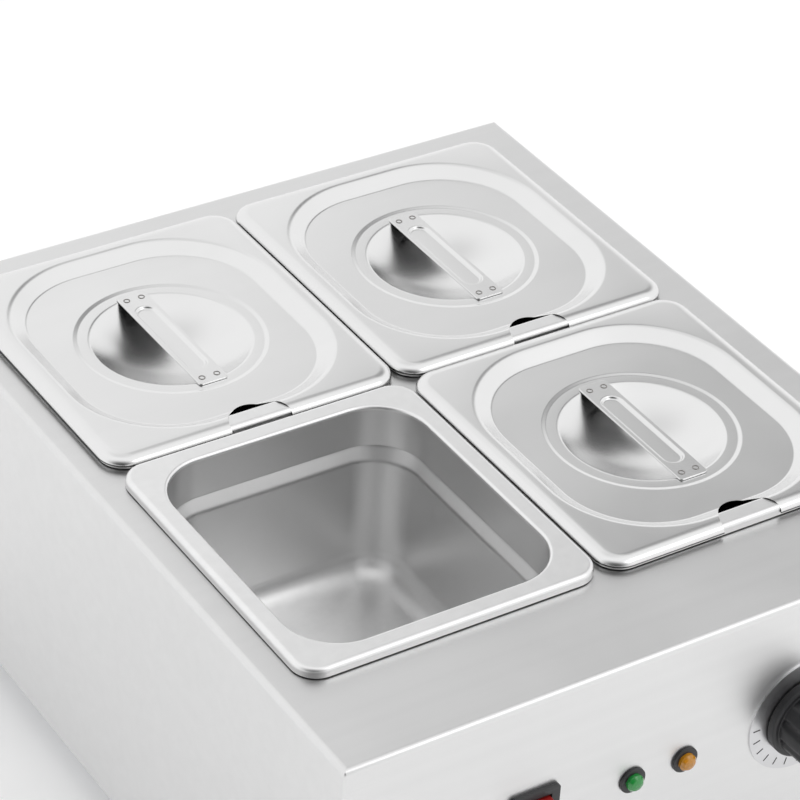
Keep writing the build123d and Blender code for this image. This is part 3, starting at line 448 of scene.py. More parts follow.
def block_between(low, high):
    """Plain block between two corners."""
    work = bmesh.new()
    bmesh.ops.create_cube(work, size=1.0)
    low, high = Vector(low), Vector(high)
    for vert in work.verts:
        vert.co = Vector((low[k] + (vert.co[k] + 0.5) * (high[k] - low[k]) for k in range(3)))
    mesh = bpy.data.meshes.new("block")
    work.to_mesh(mesh)
    work.free()
    return mesh


def feed(tree, node, inputs):
    """Sets a node's inputs, each to a value or to another node's output."""
    for socket, value in inputs.items():
        if isinstance(value, bpy.types.NodeSocket):
            tree.links.new(value, node.inputs[socket])
        else:
            node.inputs[socket].default_value = value


def add_node(tree, kind, inputs, **settings):
    """New node with its settings made and its inputs fed."""
    node = tree.nodes.new(kind)
    for setting, value in settings.items():
        setattr(node, setting, value)
    feed(tree, node, inputs)
    return node


def new_tree(kind, name, inputs, outputs):
    """Empty group of nodes, with its inputs and outputs as (name, type)."""
    tree = bpy.data.node_groups.new(name, kind)
    for way, sockets in (("INPUT", inputs), ("OUTPUT", outputs)):
        for label, held in sockets:
            tree.interface.new_socket(label, in_out=way, socket_type="NodeSocket" + held)
    return tree, tree.nodes.new("NodeGroupInput"), tree.nodes.new("NodeGroupOutput")


def point_tree(name, *inputs):
    """Geometry tree with named inputs, for pieces that repeat on points."""
    passed = ("Geometry", "Geometry")
    return new_tree("GeometryNodeTree", name, (passed, *inputs), (passed,))


def spread(tree, given, result, shape, finish, rotation=(0.0, 0.0, 0.0)):
    """Ends a tree: one instance of the shape on each point, made real, with its material."""
    instances = add_node(tree, "GeometryNodeInstanceOnPoints", {
        "Points": given.outputs["Geometry"], "Instance": shape, "Rotation": rotation})
    real = add_node(tree, "GeometryNodeRealizeInstances", {"Geometry": instances.outputs["Instances"]})
    coat = add_node(tree, "GeometryNodeSetMaterial", {"Geometry": real.outputs["Geometry"],
                                                      "Material": finish})
    feed(tree, result, {"Geometry": coat.outputs["Geometry"]})


def scattered(points, tree, values):
    """Plain mesh of a tree run on loose points with its named inputs set."""
    mesh = bpy.data.meshes.new("points")
    mesh.from_pydata([tuple(point) for point in points], [], [])
    holder = bpy.data.objects.new("points", mesh)
    bpy.context.scene.collection.objects.link(holder)
    modifier = holder.modifiers.new("Pieces", "NODES")
    modifier.node_group = tree
    for socket in tree.interface.items_tree:
        if socket.in_out == "INPUT" and socket.name in values:
            modifier[socket.identifier] = values[socket.name]
    result = baked(holder)
    holder.modifiers.remove(modifier)
    bpy.data.objects.remove(holder)
    bpy.data.meshes.remove(mesh)
    if not result.polygons:
        raise RuntimeError("no pieces were made on the points")
    return result


def eased_copy(node, width):
    """Copy of a flat-sided node with its edges rounded."""
    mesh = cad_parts[node].data.copy()
    work = bmesh.new()
    work.from_mesh(mesh)
    bmesh.ops.remove_doubles(work, verts=work.verts[:], dist=1e-6)
    bmesh.ops.dissolve_limit(work, angle_limit=math.radians(1), verts=work.verts[:], edges=work.edges[:])
    sharp = [e for e in work.edges if len(e.link_faces) == 2 and e.calc_face_angle(0) > SHARP]
    bmesh.ops.bevel(work, geom=sharp, offset=width, segments=3, profile=0.5, affect="EDGES",
                    clamp_overlap=True)
    work.to_mesh(mesh)
    work.free()
    return mesh


def place_piece(name, mesh, finish, body, nodes):
    """Adds a finished piece that rides on a body and stands for CAD nodes, where any are named."""
    mesh.name = name
    mesh.materials.clear()
    mesh.materials.append(finish)
    piece = bpy.data.objects.new(name, shade(mesh))
    bpy.context.scene.collection.objects.link(piece)
    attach(piece, body)
    if nodes:
        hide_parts(*nodes)


def dress(node, finish):
    """Gives a CAD node its finish."""
    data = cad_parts[node].data
    data.materials.clear()
    data.materials.append(finish)


# Finishes


def brushed_group():
    """Fine parallel brush lines: stretched noise, as a height and as a tone."""
    if "Brush Lines" in bpy.data.node_groups:
        return bpy.data.node_groups["Brush Lines"]
    tree, given, result = new_tree(
        "ShaderNodeTree", "Brush Lines", (("Vector", "Vector"), ("Stretch", "Vector"), ("Seed", "Float")),
        (("Height", "Float"), ("Tone", "Float")))
    stretched = add_node(tree, "ShaderNodeVectorMath", {
        0: given.outputs["Vector"], 1: given.outputs["Stretch"]}, operation="MULTIPLY")
    for socket, values in (("Height", {"Scale": 1.0, "Detail": 3.0, "Roughness": 0.6}),
                           ("Tone", {"Scale": 0.22, "Detail": 2.0})):
        noise = add_node(tree, "ShaderNodeTexNoise", {
            "Vector": stretched.outputs["Vector"], "W": given.outputs["Seed"], **values},
            noise_dimensions="4D")
        feed(tree, result, {socket: noise.outputs["Fac"]})
    return tree


def handling_group():
    """Soft patches left by wiping and handling, as a mask."""
    if "Handling Marks" in bpy.data.node_groups:
        return bpy.data.node_groups["Handling Marks"]
    tree, given, result = new_tree("ShaderNodeTree", "Handling Marks", (("Vector", "Vector"),),
                                   (("Mask", "Float"),))
    cloud = add_node(tree, "ShaderNodeTexNoise", {
        "Vector": given.outputs["Vector"], "Scale": 14.0, "Detail": 5.0, "Roughness": 0.55,
        "Distortion": 0.6})
    feed(tree, result, {"Mask": ranged(tree, cloud.outputs["Fac"], 0.0, 1.0, (0.35, 0.68))})
    return tree


def grain_group():
    """Moulded or felted grain: two scales of noise, as a height and a tone."""
    if "Surface Grain" in bpy.data.node_groups:
        return bpy.data.node_groups["Surface Grain"]
    tree, given, result = new_tree(
        "ShaderNodeTree", "Surface Grain", (("Vector", "Vector"), ("Scale", "Float")),
        (("Height", "Float"), ("Tone", "Float")))
    for socket, scale, detail in (("Height", given.outputs["Scale"], 2.0), ("Tone", 26.0, 4.0)):
        noise = add_node(tree, "ShaderNodeTexNoise", {
            "Vector": given.outputs["Vector"], "Scale": scale, "Detail": detail})
        feed(tree, result, {socket: noise.outputs["Fac"]})
    return tree


def start_material(name):
    """New node material with its tree, its shader and its object coordinates."""
    material = bpy.data.materials.new(name)
    material.use_nodes = True
    tree = material.node_tree
    coordinates = tree.nodes.new("ShaderNodeTexCoord")
    return material, tree, tree.nodes["Principled BSDF"], coordinates.outputs["Object"]


def ranged(tree, source, low, high, edges=(0.0, 1.0)):
    """Maps a mask between two edges to a range of values."""
    span = add_node(tree, "ShaderNodeMapRange", {
        "Value": source, "From Min": edges[0], "From Max": edges[1], "To Min": low, "To Max": high})
    return span.outputs["Result"]


def stepped(tree, source, stops):
    """Colours along a value, as (position, colour) stops in rising order."""
    ramp = add_node(tree, "ShaderNodeValToRGB", {"Fac": source})
    while len(ramp.color_ramp.elements) < len(stops):
        ramp.color_ramp.elements.new(1.0)
    for element, (position, colour) in zip(ramp.color_ramp.elements, stops):
        element.position = position
        element.color = (*colour, 1)
    return ramp.outputs["Color"]


def grey(tone):
    """Colour of a single tone."""
    return (tone, tone, tone)


def bumped(tree, height, strength, distance, under=None):
    """Normal with a bump from a height, over another normal where one is given."""
    bump = add_node(tree, "ShaderNodeBump", {"Height": height, "Strength": strength, "Distance": distance})
    if under:
        feed(tree, bump, {"Normal": under})
    return bump.outputs["Normal"]


def tinted(finish, colour, share):
    """Mixes a second colour into a finish."""
    tree = finish.node_tree
    shader = tree.nodes["Principled BSDF"]
    first = shader.inputs["Base Color"].links[0].from_socket
    mix = add_node(tree, "ShaderNodeMix", {"Factor": share, MIX_FIRST: first, MIX_SECOND: (*colour, 1)},
                   data_type="RGBA")
    feed(tree, shader, {"Base Color": mix.outputs[MIX_RESULT]})


def paint_shade_by_slope(finish, colour, limits):
    """Paints shade: colours the faces whose normal points up by less than the limits."""
    tree = finish.node_tree
    surface = tree.nodes.new("ShaderNodeNewGeometry")
    parts = add_node(tree, "ShaderNodeSeparateXYZ", {"Vector": surface.outputs["True Normal"]})
    tinted(finish, colour, ranged(tree, parts.outputs["Z"], 1.0, 0.0, limits))


def steel(name, colour, rough, stretch, brush=0.05, seed=0.0, shift=0.04, wave=0.0):
    """Metal sheet: brush lines in the surface, handling marks in the sheen, and slow swells where asked."""
    if name in bpy.data.materials:
        return bpy.data.materials[name]
    material, tree, shader, place = start_material(name)
    lines = add_node(tree, "ShaderNodeGroup", {"Vector": place, "Stretch": stretch, "Seed": seed},
                     node_tree=brushed_group())
    marks = add_node(tree, "ShaderNodeGroup", {"Vector": place}, node_tree=handling_group())
    dark = [c * (1 - shift) for c in colour]
    swells = None
    if wave:
        noise = add_node(tree, "ShaderNodeTexNoise", {"Vector": place, "Scale": SWELLS, "Detail": 0.0})
        swells = bumped(tree, noise.outputs["Fac"], 1.0, wave)
    feed(tree, shader, {
        "Metallic": 1.0,
        "Base Color": stepped(tree, lines.outputs["Tone"], ((0.3, dark), (0.7, colour))),
        "Roughness": ranged(tree, marks.outputs["Mask"], rough, rough + HANDLED),
        "Normal": bumped(tree, lines.outputs["Height"], brush, BRUSH_DEPTH, swells)})
    return material


def grained(name, colour, rough, scale=900.0, depth=0.15, lift=1.5, metal=0.0, distance=0.1 * MM):
    """Moulded plastic, rubber, felt or plated metal with a fine grain and slow tone changes."""
    if name in bpy.data.materials:
        return bpy.data.materials[name]
    material, tree, shader, place = start_material(name)
    grain = add_node(tree, "ShaderNodeGroup", {"Vector": place, "Scale": scale}, node_tree=grain_group())
    light = [min(1.0, c * lift) for c in colour]
    feed(tree, shader, {
        "Metallic": metal,
        "Base Color": stepped(tree, grain.outputs["Tone"], ((0.35, colour), (0.75, light))),
        "Roughness": ranged(tree, grain.outputs["Tone"], rough, min(1.0, rough + GRAINED)),
        "Normal": bumped(tree, grain.outputs["Height"], depth, distance)})
    return material


def lens_finish(name, colour):
    """Tinted clear lens with a faint inner pattern."""
    material = grained(name, colour, 0.08, scale=500.0, depth=0.05, lift=1.6)
    tree = material.node_tree
    feed(tree, tree.nodes["Principled BSDF"], {"Transmission Weight": 0.35, "Coat Weight": 0.6})
    return material


def casing_steel():
    """Satin sheet, brushed along the melter's width."""
    return steel("satin casing steel", props().finish.casing, 0.34, (9.0, 700.0, 700.0), brush=0.10,
                 shift=0.025, wave=0.5 * MM)


def plastic_finish():
    """Black moulded plastic."""
    return grained("black moulded plastic", props().finish.plastic, 0.38)


def zinc_finish():
    """Zinc-plated steel."""
    return grained("zinc plated steel", props().finish.zinc, 0.34, scale=160.0, depth=0.06, lift=1.2,
                   metal=1.0)


# Pieces


class MELTER_OT_pans(bpy.types.Operator):
    """Draws the four pans: rolled rims, stacking shoulders, drafted walls and rounded floors."""

    bl_idname = "melter.pans"
    bl_label = "Pans"

    def paint_pan_wall_shade(self, finish, size, low, high):
        """Paints shade into the pans: the drawn walls are coloured darker than the rim, shoulder and floor,
        and are glossier than the satin rim, shoulder and floor.
        """
        tree = finish.node_tree
        place = tree.nodes.new("ShaderNodeTexCoord")
        parts = add_node(tree, "ShaderNodeSeparateXYZ", {"Vector": place.outputs["Object"]})
        level = ranged(tree, parts.outputs["Z"], 0.0, 1.0, (low, high))
        tall = high - low
        rim = tall - size.mouth_round
        ledge = tall - size.shoulder_depth
        drop = size.shoulder_drop
        # Bands from the floor up: height, share of the painted wall shade, roughness
        bands = ((0.3 * size.floor_round, 0.1, 0.44), (size.floor_round, 1.0, 0.32),
                 (ledge - drop, 1.0, 0.32), (ledge - 0.8 * drop, 0.4, 0.50),
                 (ledge - 0.2 * drop, 0.4, 0.50), (ledge, 1.0, 0.32),
                 (rim - MM, 1.0, 0.32), (rim, 0.0, 0.36))
        shares = [(height / tall, grey(share)) for height, share, _ in bands]
        sheens = [(height / tall, grey(rough)) for height, _, rough in bands]
        # Painted shade: the walls get the full darker colour, while the floor and shoulder get less of it
        # and stay lighter
        tinted(finish, props().finish.wall, stepped(tree, level, shares))
        feed(tree, tree.nodes["Principled BSDF"], {"Roughness": stepped(tree, level, sheens)})

    def profile(self, size, half, mouth, floor):
        """Section through the sheet: the inside from the floor up, the rim, and the outside down again."""
        sheet = size.sheet
        ledge = -size.shoulder_depth
        shoulder = ledge - size.shoulder_drop
        upper = size.shoulder_depth * math.tan(size.upper_draft)
        step = upper + size.shoulder_step
        foot = step + (shoulder - floor) * math.tan(size.lower_draft)
        fan = 0.3 * mouth
        outer = mouth + sheet
        inside = [(fan, floor, 0), (mouth - foot, floor, size.floor_round),
                  (mouth - step, shoulder, size.shoulder_foot), (mouth - upper, ledge, size.shoulder_top),
                  (mouth, 0, size.mouth_round)]
        rim = [(half, 0, size.rim_round), (half, -size.rim_height, size.edge),
               (half - sheet, -size.rim_height, size.edge), (half - sheet, -sheet, size.rim_round - sheet)]
        outside = [(outer, -sheet, size.mouth_round), (outer - upper, ledge, size.shoulder_top),
                   (outer - step, shoulder, size.shoulder_foot),
                   (outer - foot, floor - sheet, size.floor_round), (fan, floor - sheet, 0)]
        return eased(inside + rim + outside)

    def execute(self, context):
        size = props().pan
        finish = steel("drawn pan steel", props().finish.pan, 0.22, (900.0, 900.0, 60.0), brush=0.03,
                       seed=3.0)
        self.paint_pan_wall_shade(finish, size, *(corner.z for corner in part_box("pan_" + PLACES[0])))
        least_corner = 4 * MM
        for place in PLACES:
            node = "pan_" + place
            low, high, half, centre = measured(node)
            mouth = Vector((half.x - size.flange, half.y - size.flange))
            switch = mouth.x + size.flange / 2
            loops = []
            for x, z in self.profile(size, half.x, mouth.x, low.z - high.z + size.sheet):
                out = x - mouth.x
                corner = size.mouth_corner + out if x < switch else size.rim_corner + x - half.x
                outline = rounded_loop(x, mouth.y + out, max(corner, least_corner), corner_steps=18,
                                       side_steps=4)
                loops.append(raised(outline, centre, high.z + z))
            place_piece("pan-" + place, skin(loops), finish, node, [node])
        return {"FINISHED"}


class MELTER_OT_lids(bpy.types.Operator):
    """Stamps the lids: rounded skirt, flat rim, sunken panel, finger dish and the ladle notch."""

    bl_idname = "melter.lids"
    bl_label = "Lids"

    def dish_edge(self, size):
        """Radius of the dish's sphere, radius where the seat starts to turn down, and the turn's angle."""
        sphere = (size.dish_radius ** 2 + size.dish_depth ** 2) / (2 * size.dish_depth)
        reach = sphere + size.dish_round
        turn = math.acos((reach - size.dish_depth) / reach)
        return sphere, reach * math.sin(turn), turn

    def profile(self, size, half):
        """Upper surface from the skirt's lower edge to the dish's middle, as (x, z)."""
        panel = -size.recess_depth
        seat = panel - size.seat_drop
        slope = size.seat_run / 2
        sphere, start, turn = self.dish_edge(size)
        centre = seat - size.dish_depth + sphere
        corners = [(half - size.brim_run, 0, 0), (half - size.recess_inset, 0, size.recess_edge),
                   (half - size.recess_inset - size.recess_run, panel, size.recess_foot),
                   (size.seat_radius + slope, panel, size.seat_round),
                   (size.seat_radius - slope, seat, size.seat_round), (start, seat, 0)]
        brim_steps, edge_steps, dish_steps = 10, 12, 22
        brim = [math.pi / 2 * k / brim_steps for k in range(brim_steps)]
        edge = [turn * k / edge_steps for k in range(1, edge_steps)]
        dish = [turn * (1 - k / dish_steps) for k in range(dish_steps)]
        return ([(half - size.brim_run * (1 - math.cos(a)), -size.brim_drop * (1 - math.sin(a)))
                 for a in brim]
                + eased(corners, steps=9)
                + [(start - size.dish_round * math.sin(a), seat - size.dish_round * (1 - math.cos(a)))
                   for a in edge]
                + [(sphere * math.sin(a), centre - sphere * math.cos(a)) for a in dish])

    def underside(self, size, upper):
        """Lower surface: the upper one moved in by the sheet, and kept off the axis."""
        under = []
        for index, (x, z) in enumerate(upper):
            before = Vector(upper[max(index - 1, 0)])
            along = (Vector(upper[min(index + 1, len(upper) - 1)]) - before).normalized()
            inner = Vector((x, z)) + size.sheet * Vector((-along.y, along.x))
            under.append((max(inner.x, MM), inner.y))
        return under

    def outline(self, size, half, x):
        """Points round the lid at one half width: outer corners, recess corners or the dish's circles."""
        inset = half.x - x
        foot = half.x - size.recess_inset - size.recess_run
        switch = (size.seat_radius + foot) / 2
        if x < switch:
            corner = size.recess_corner - size.recess_run
            guide = rounded_loop(switch, half.y - half.x + switch, corner, corner_steps=18, side_steps=10)
            return circle_loop(x, guide)
        just_past, least_corner = 0.3 * MM, 3 * MM
        corner = size.corner - inset
        if inset > size.brim_run + just_past:
            corner = size.recess_corner + size.recess_inset - inset
        return rounded_loop(x, half.y - inset, max(corner, least_corner), corner_steps=18, side_steps=10)

    def execute(self, context):
        size = props().lid
        finish = steel("polished lid steel", props().finish.lid, 0.22, (14.0, 520.0, 520.0), brush=0.03,
                       seed=7.0, shift=0.015, wave=0.8 * MM)
        # Painted shadow: the upright faces, such as the notch's cut edges and the brim's lowest band, are
        # coloured near-black, standing in for the shadow in the gap under the lid's edge
        paint_shade_by_slope(finish, props().finish.painted_gap_shadow, (0.10, 0.30))
        front, back = size.notch_width / 2, size.notch_end / 2
        notch_outline = tapered_loop(front, back, size.notch_depth - back)
        for place in LIDDED:
            node = "lid_" + place
            low, high, half, centre = measured(node)
            upper = self.profile(size, half.x)
            loops = [raised(self.outline(size, half, x), centre, high.z + z)
                     for x, z in upper[::-1] + self.underside(size, upper)]
            notch = prism(Vector((centre.x + size.notch_shift, low.y)), notch_outline,
                          high.z - 2 * size.recess_depth, high.z + size.recess_depth)
            place_piece("lid-" + place, carved(skin(loops), [notch]), finish, node, [node])
        return {"FINISHED"}


class MELTER_OT_handles(bpy.types.Operator):
    """Presses the strip handles across the lids' dishes and sets their weld spots."""

    bl_idname = "melter.handles"
    bl_label = "Lid Handles"

    def strip(self, size, half, centre, top):
        """Rounded strip with a pressed channel."""
        channel = size.channel_width / 2
        length = half.y - size.channel_margin
        lean = size.channel_depth / 3
        sunk = -size.channel_depth
        below = -size.sheet
        profile = eased([(channel / 3, sunk, 0), (channel - lean, sunk, size.fold),
                         (channel + lean, 0, size.fold), (half.x, 0, size.edge), (half.x, below, size.edge),
                         (channel + lean + size.fold, below, size.fold),
                         (channel - lean + size.fold, below + sunk, size.fold),
                         (channel / 3, below + sunk, 0)], steps=4, support=0.1 * MM)
        switch = (channel + half.x) / 2
        loops = []
        for x, z in profile:
            if x < switch:
                outline = rounded_loop(x, length - channel + x, x, corner_steps=10, side_steps=8)
            else:
                corner = max(size.corner - half.x + x, size.edge)
                outline = rounded_loop(x, half.y - half.x + x, corner, corner_steps=10, side_steps=8)
            loops.append(raised(outline, centre, top + z))
        return skin(loops)

    def spots(self, finish):
        """Tree that sets a flattened weld ring on every point."""
        tree, given, result = point_tree("Weld Spots", ("Radius", "Float"), ("Height", "Float"))
        ring, bead = (add_node(tree, "GeometryNodeCurvePrimitiveCircle",
                               {"Radius": given.outputs[radius], "Resolution": points})
                      for radius, points in (("Radius", 24), ("Height", 8)))
        swept = add_node(tree, "GeometryNodeCurveToMesh", {
            "Curve": ring.outputs["Curve"], "Profile Curve": bead.outputs["Curve"]})
        spread(tree, given, result, swept.outputs["Mesh"], finish)
        return tree

    def execute(self, context):
        size = props().handle
        finish = steel("pressed handle steel", props().finish.lid, 0.22, (520.0, 14.0, 520.0), seed=11.0)
        # Painted shade: the strips' downward faces are coloured dark, standing in for the shade under the
        # handles, which the dishes reflect
        paint_shade_by_slope(finish, props().finish.underside, (-0.5, -0.2))
        weld = steel("spot weld steel", props().finish.weld, 0.40, (300.0, 300.0, 300.0), seed=37.0)
        tree = self.spots(weld)
        for place in LIDDED:
            node = "lid_handle_" + place
            low, high, half, centre = measured(node)
            points = [(centre.x + side * size.spot_spread / 2, y, high.z)
                      for side in (-1, 1) for y in (low.y + size.spot_inset, high.y - size.spot_inset)]
            spots = scattered(points, tree, {"Radius": size.spot_radius, "Height": size.spot_height})
            strip = self.strip(size, half, centre, high.z)
            place_piece("handle-" + place, strip, finish, "lid_" + place, [node])
            place_piece("welds-" + place, spots, weld, "lid_" + place, [])
        return {"FINISHED"}


class MELTER_OT_casing(bpy.types.Operator):
    """Folds the casing with its four deck cut-outs, and dresses the panels and the base."""

    bl_idname = "melter.casing"
    bl_label = "Casing"

    def execute(self, context):
        size = props().casing
        pan = props().pan
        low, high, half, centre = measured("casing")
        fall = low.z - high.z
        inner = half.x - size.sheet
        profile = eased([(half.x / 2, 0, 0), (half.x, 0, size.bend), (half.x, fall, 0), (inner, fall, 0),
                         (inner, -size.sheet, size.bend - size.sheet), (half.x / 2, -size.sheet, 0)])
        least_corner = 0.2 * MM
        loops = []
        for x, z in profile:
            corner = max(size.corner - half.x + x, least_corner)
            outline = rounded_loop(x, half.y - half.x + x, corner, corner_steps=4, side_steps=8)
            loops.append(raised(outline, centre, high.z + z))
        round_pan = pan.sheet + size.cutout_gap
        cutters = [block_between((-inner, low.y - size.lip, low.z - size.lip),
                                 (inner, high.y + size.lip, high.z - size.lip))]
        for place in PLACES:
            *_, rim, middle = measured("pan_" + place)
            hole = rim + Vector((1, 1, 0)) * (round_pan - pan.flange)
            outline = rounded_loop(hole.x, hole.y, pan.mouth_corner + round_pan)
            cutters.append(prism(middle, outline, high.z - size.bend, high.z + size.bend))
        folded = carved(skin(loops), cutters)
        place_piece("casing", folded, casing_steel(), "body", ["casing"])
        for node in ("front_panel", "rear_panel"):
            dress(node, casing_steel())
        dress("base_plate", zinc_finish())
        return {"FINISHED"}


class MELTER_OT_screws(bpy.types.Operator):
    """Sets the cross-recessed screws in the casing's sides."""

    bl_idname = "melter.screws"
    bl_label = "Casing Screws"

    def heads(self, finish):
        """Tree that sets a domed, cross-recessed head on every point, facing away from the middle."""
        tree, given, result = point_tree("Screw Heads", ("Radius", "Float"), ("Flatness", "Float"),
                                         ("Slot", "Vector"), ("Depth", "Vector"))
        dome = add_node(tree, "GeometryNodeMeshUVSphere", {
            "Segments": 28, "Rings": 14, "Radius": given.outputs["Radius"]})
        scale = add_node(tree, "ShaderNodeCombineXYZ", {
            "X": 1.0, "Y": 1.0, "Z": given.outputs["Flatness"]})
        flat = add_node(tree, "GeometryNodeTransform", {
            "Geometry": dome.outputs["Mesh"], "Scale": scale.outputs["Vector"]})
        cut = add_node(tree, "GeometryNodeMeshBoolean", {"Mesh 1": flat.outputs["Geometry"]},
                       operation="DIFFERENCE")
        for turn in (0.0, math.pi / 2):
            slot = add_node(tree, "GeometryNodeMeshCube", {"Size": given.outputs["Slot"]})
            turned = add_node(tree, "GeometryNodeTransform", {
                "Geometry": slot.outputs["Mesh"], "Translation": given.outputs["Depth"],
                "Rotation": (0.0, 0.0, turn)})
            feed(tree, cut, {"Mesh 2": turned.outputs["Geometry"]})
        position = tree.nodes.new("GeometryNodeInputPosition")
        sideways = add_node(tree, "ShaderNodeVectorMath", {
            0: position.outputs["Position"], 1: (1.0, 0.0, 0.0)}, operation="MULTIPLY")
        aim = add_node(tree, "FunctionNodeAlignRotationToVector", {"Vector": sideways.outputs["Vector"]})
        spread(tree, given, result, cut.outputs["Mesh"], finish, aim.outputs["Rotation"])
        return tree

    def execute(self, context):
        size = props().casing
        finish = steel("bright screw steel", props().finish.screw, 0.16, (300.0, 300.0, 300.0), seed=5.0)
        low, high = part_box("casing")
        rows = ((size.screw_low, size.screw_edge), (size.screw_high, size.screw_edge),
                (size.base_screw_height, size.base_screw_inset))
        points = [(x, y, low.z + height) for height, inset in rows for x in (low.x, high.x)
                  for y in (low.y + inset, high.y - inset)]
        mesh = scattered(points, self.heads(finish), {
            "Radius": size.screw_radius, "Flatness": size.screw_height / size.screw_radius,
            "Slot": (size.screw_slot, 1.2 * size.screw_radius, size.screw_height),
            "Depth": (0.0, 0.0, size.screw_height)})
        place_piece("casing-screws", mesh, finish, "body", ["casing_screws"])
        return {"FINISHED"}


class MELTER_OT_thermostat(bpy.types.Operator):
    """Turns the fluted knob, its pointer line and the dial with its marks."""

    bl_idname = "melter.thermostat"
    bl_label = "Thermostat"

    def knob(self, size, low, high):
        """Fluted body on a round skirt, standing out of the front."""
        skirt = (high.x - low.x) / 2
        place = facing_front((low.x + skirt, high.y, low.z + skirt))
        tall = high.y - low.y
        body = skirt - size.knob_step
        profile = eased([(body / 2, 0, 0), (skirt, 0, size.edge), (skirt, size.knob_skirt, size.knob_edge),
                         (body, size.knob_skirt, size.edge), (body - size.edge, tall, size.knob_edge),
                         (body / 2, tall, 0)], support=0.2 * MM)
        flute_steps, flute_shape, grip_share = 18, 1.6, 0.7
        segments = flute_steps * size.knob_flutes
        loops = []
        for radius, height in profile:
            gripped = height > size.edge + size.knob_skirt and radius > grip_share * body
            bite = size.knob_bite if gripped else 0.0
            loop = []
            for k in range(segments):
                angle = 2 * math.pi * k / segments
                wave = max(0.0, math.cos(size.knob_flutes * angle + math.pi)) ** flute_shape
                reach = radius - bite * wave
                loop.append(place @ Vector((reach * math.cos(angle), reach * math.sin(angle), height)))
            loops.append(loop)
        return skin(loops)

    def marks(self, finish):
        """Tree that sets a thin bar on every point, turned away from the dial's middle."""
        tree, given, result = point_tree("Dial Marks", ("Size", "Vector"), ("Middle", "Vector"))
        bar = add_node(tree, "GeometryNodeMeshCube", {"Size": given.outputs["Size"]})
        position = tree.nodes.new("GeometryNodeInputPosition")
        outward = add_node(tree, "ShaderNodeVectorMath", {
            0: position.outputs["Position"], 1: given.outputs["Middle"]}, operation="SUBTRACT")
        aim = add_node(tree, "FunctionNodeAlignRotationToVector", {"Vector": outward.outputs["Vector"]},
                       pivot_axis="Y")
        spread(tree, given, result, bar.outputs["Mesh"], finish, aim.outputs["Rotation"])
        return tree

    def execute(self, context):
        size = props().control
        colours = props().finish
        low, high, _, middle = measured("thermostat_knob")
        groove = Vector((size.pointer_width / 2, size.pointer_depth))
        slot = block_between((middle.x - groove.x, low.y - groove.y, middle.z),
                             (middle.x + groove.x, low.y + groove.y, high.z))
        fluted = carved(self.knob(size, low, high), [slot])
        place_piece("knob", fluted, plastic_finish(), "knob", ["thermostat_knob"])
        # The white line lies in the groove, a little narrower than it
        reach = 0.9 * groove.x
        tip = high.z - size.knob_step - size.knob_edge
        line = block_between((middle.x - reach, low.y + groove.y / 3, middle.z),
                             (middle.x + reach, low.y + 1.5 * groove.y, tip))
        white = grained("white marking", colours.pointer, 0.45, lift=1.1)
        place_piece("knob-pointer", line, white, "knob", [])
        face, _, plate, hub = measured("dial_plate")
        hub.y = face.y
        dial = steel("dial aluminium", colours.dial, 0.28, (30.0, 600.0, 600.0), brush=0.1, seed=13.0)
        dress("dial_plate", dial)
        radius = plate.x - size.tick_length
        angles = [size.dial_sweep * k / (size.dial_ticks - 1) for k in range(size.dial_ticks)]
        points = [hub + radius * Vector((math.sin(a), 0, math.cos(a))) for a in angles]
        ink = grained("dial ink", colours.ink, 0.5)
        marks = scattered(points, self.marks(ink), {
            "Size": (size.tick_width, size.tick_height, size.tick_length), "Middle": tuple(hub)})
        place_piece("dial-marks", marks, ink, "body", [])
        dress("thermostat_shaft", zinc_finish())
        dress("thermostat_body", grained("grey moulding", (0.20, 0.20, 0.21), 0.45))
        return {"FINISHED"}


class MELTER_OT_switch(bpy.types.Operator):
    """Rounds the switch's frame and its rocker."""

    bl_idname = "melter.switch"
    bl_label = "Rocker Switch"

    def execute(self, context):
        edge = props().control.edge
        housing = eased_copy("switch_housing", edge)
        place_piece("switch-frame", housing, plastic_finish(), "body", ["switch_housing"])
        red = grained("rocker plastic", props().finish.rocker, 0.30, lift=1.3)
        rocker = eased_copy("switch_rocker", edge / 2)
        place_piece("switch-rocker", rocker, red, "rocker", ["switch_rocker"])
        return {"FINISHED"}


class MELTER_OT_lamps(bpy.types.Operator):
    """Domes the two pilot lamps' lenses over their holders."""

    bl_idname = "melter.lamps"
    bl_label = "Pilot Lamps"

    def execute(self, context):
        size = props().control
        colours = props().finish
        for node, name, slot, colour in (
                ("power_lamp_lens", "green lens", "green_lens", colours.power_lens),
                ("heating_lamp_lens", "amber lens", "amber_lens", colours.heating_lens)):
            low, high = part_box(node)
            radius = (high.x - low.x) / 2
            tall = high.y - low.y
            corners = [(across * radius, up * tall, ease * size.edge) for across, up, ease in LENS_DOME]
            place = facing_front((low.x + radius, high.y, low.z + radius))
            lens = lathe(eased(corners, support=0.1 * MM), place, segments=48)
            place_piece(node.replace("_", "-"), lens, lens_finish(name, colour), "body", [node])
        holders = eased_copy("lamp_holders", size.edge)
        place_piece("lamp-holders", holders, plastic_finish(), "body", ["lamp_holders"])
        return {"FINISHED"}


class MELTER_OT_gland(bpy.types.Operator):
    """Rounds the cord gland's hexagon and dome on the rear panel."""

    bl_idname = "melter.gland"
    bl_label = "Cord Gland"

    def execute(self, context):
        edge = props().control.edge
        for node in ("gland_body", "gland_dome_nut"):
            nut = eased_copy(node, edge)
            place_piece(node.replace("_", "-"), nut, plastic_finish(), "body", [node])
        dress("gland_lock_nut", plastic_finish())
        return {"FINISHED"}


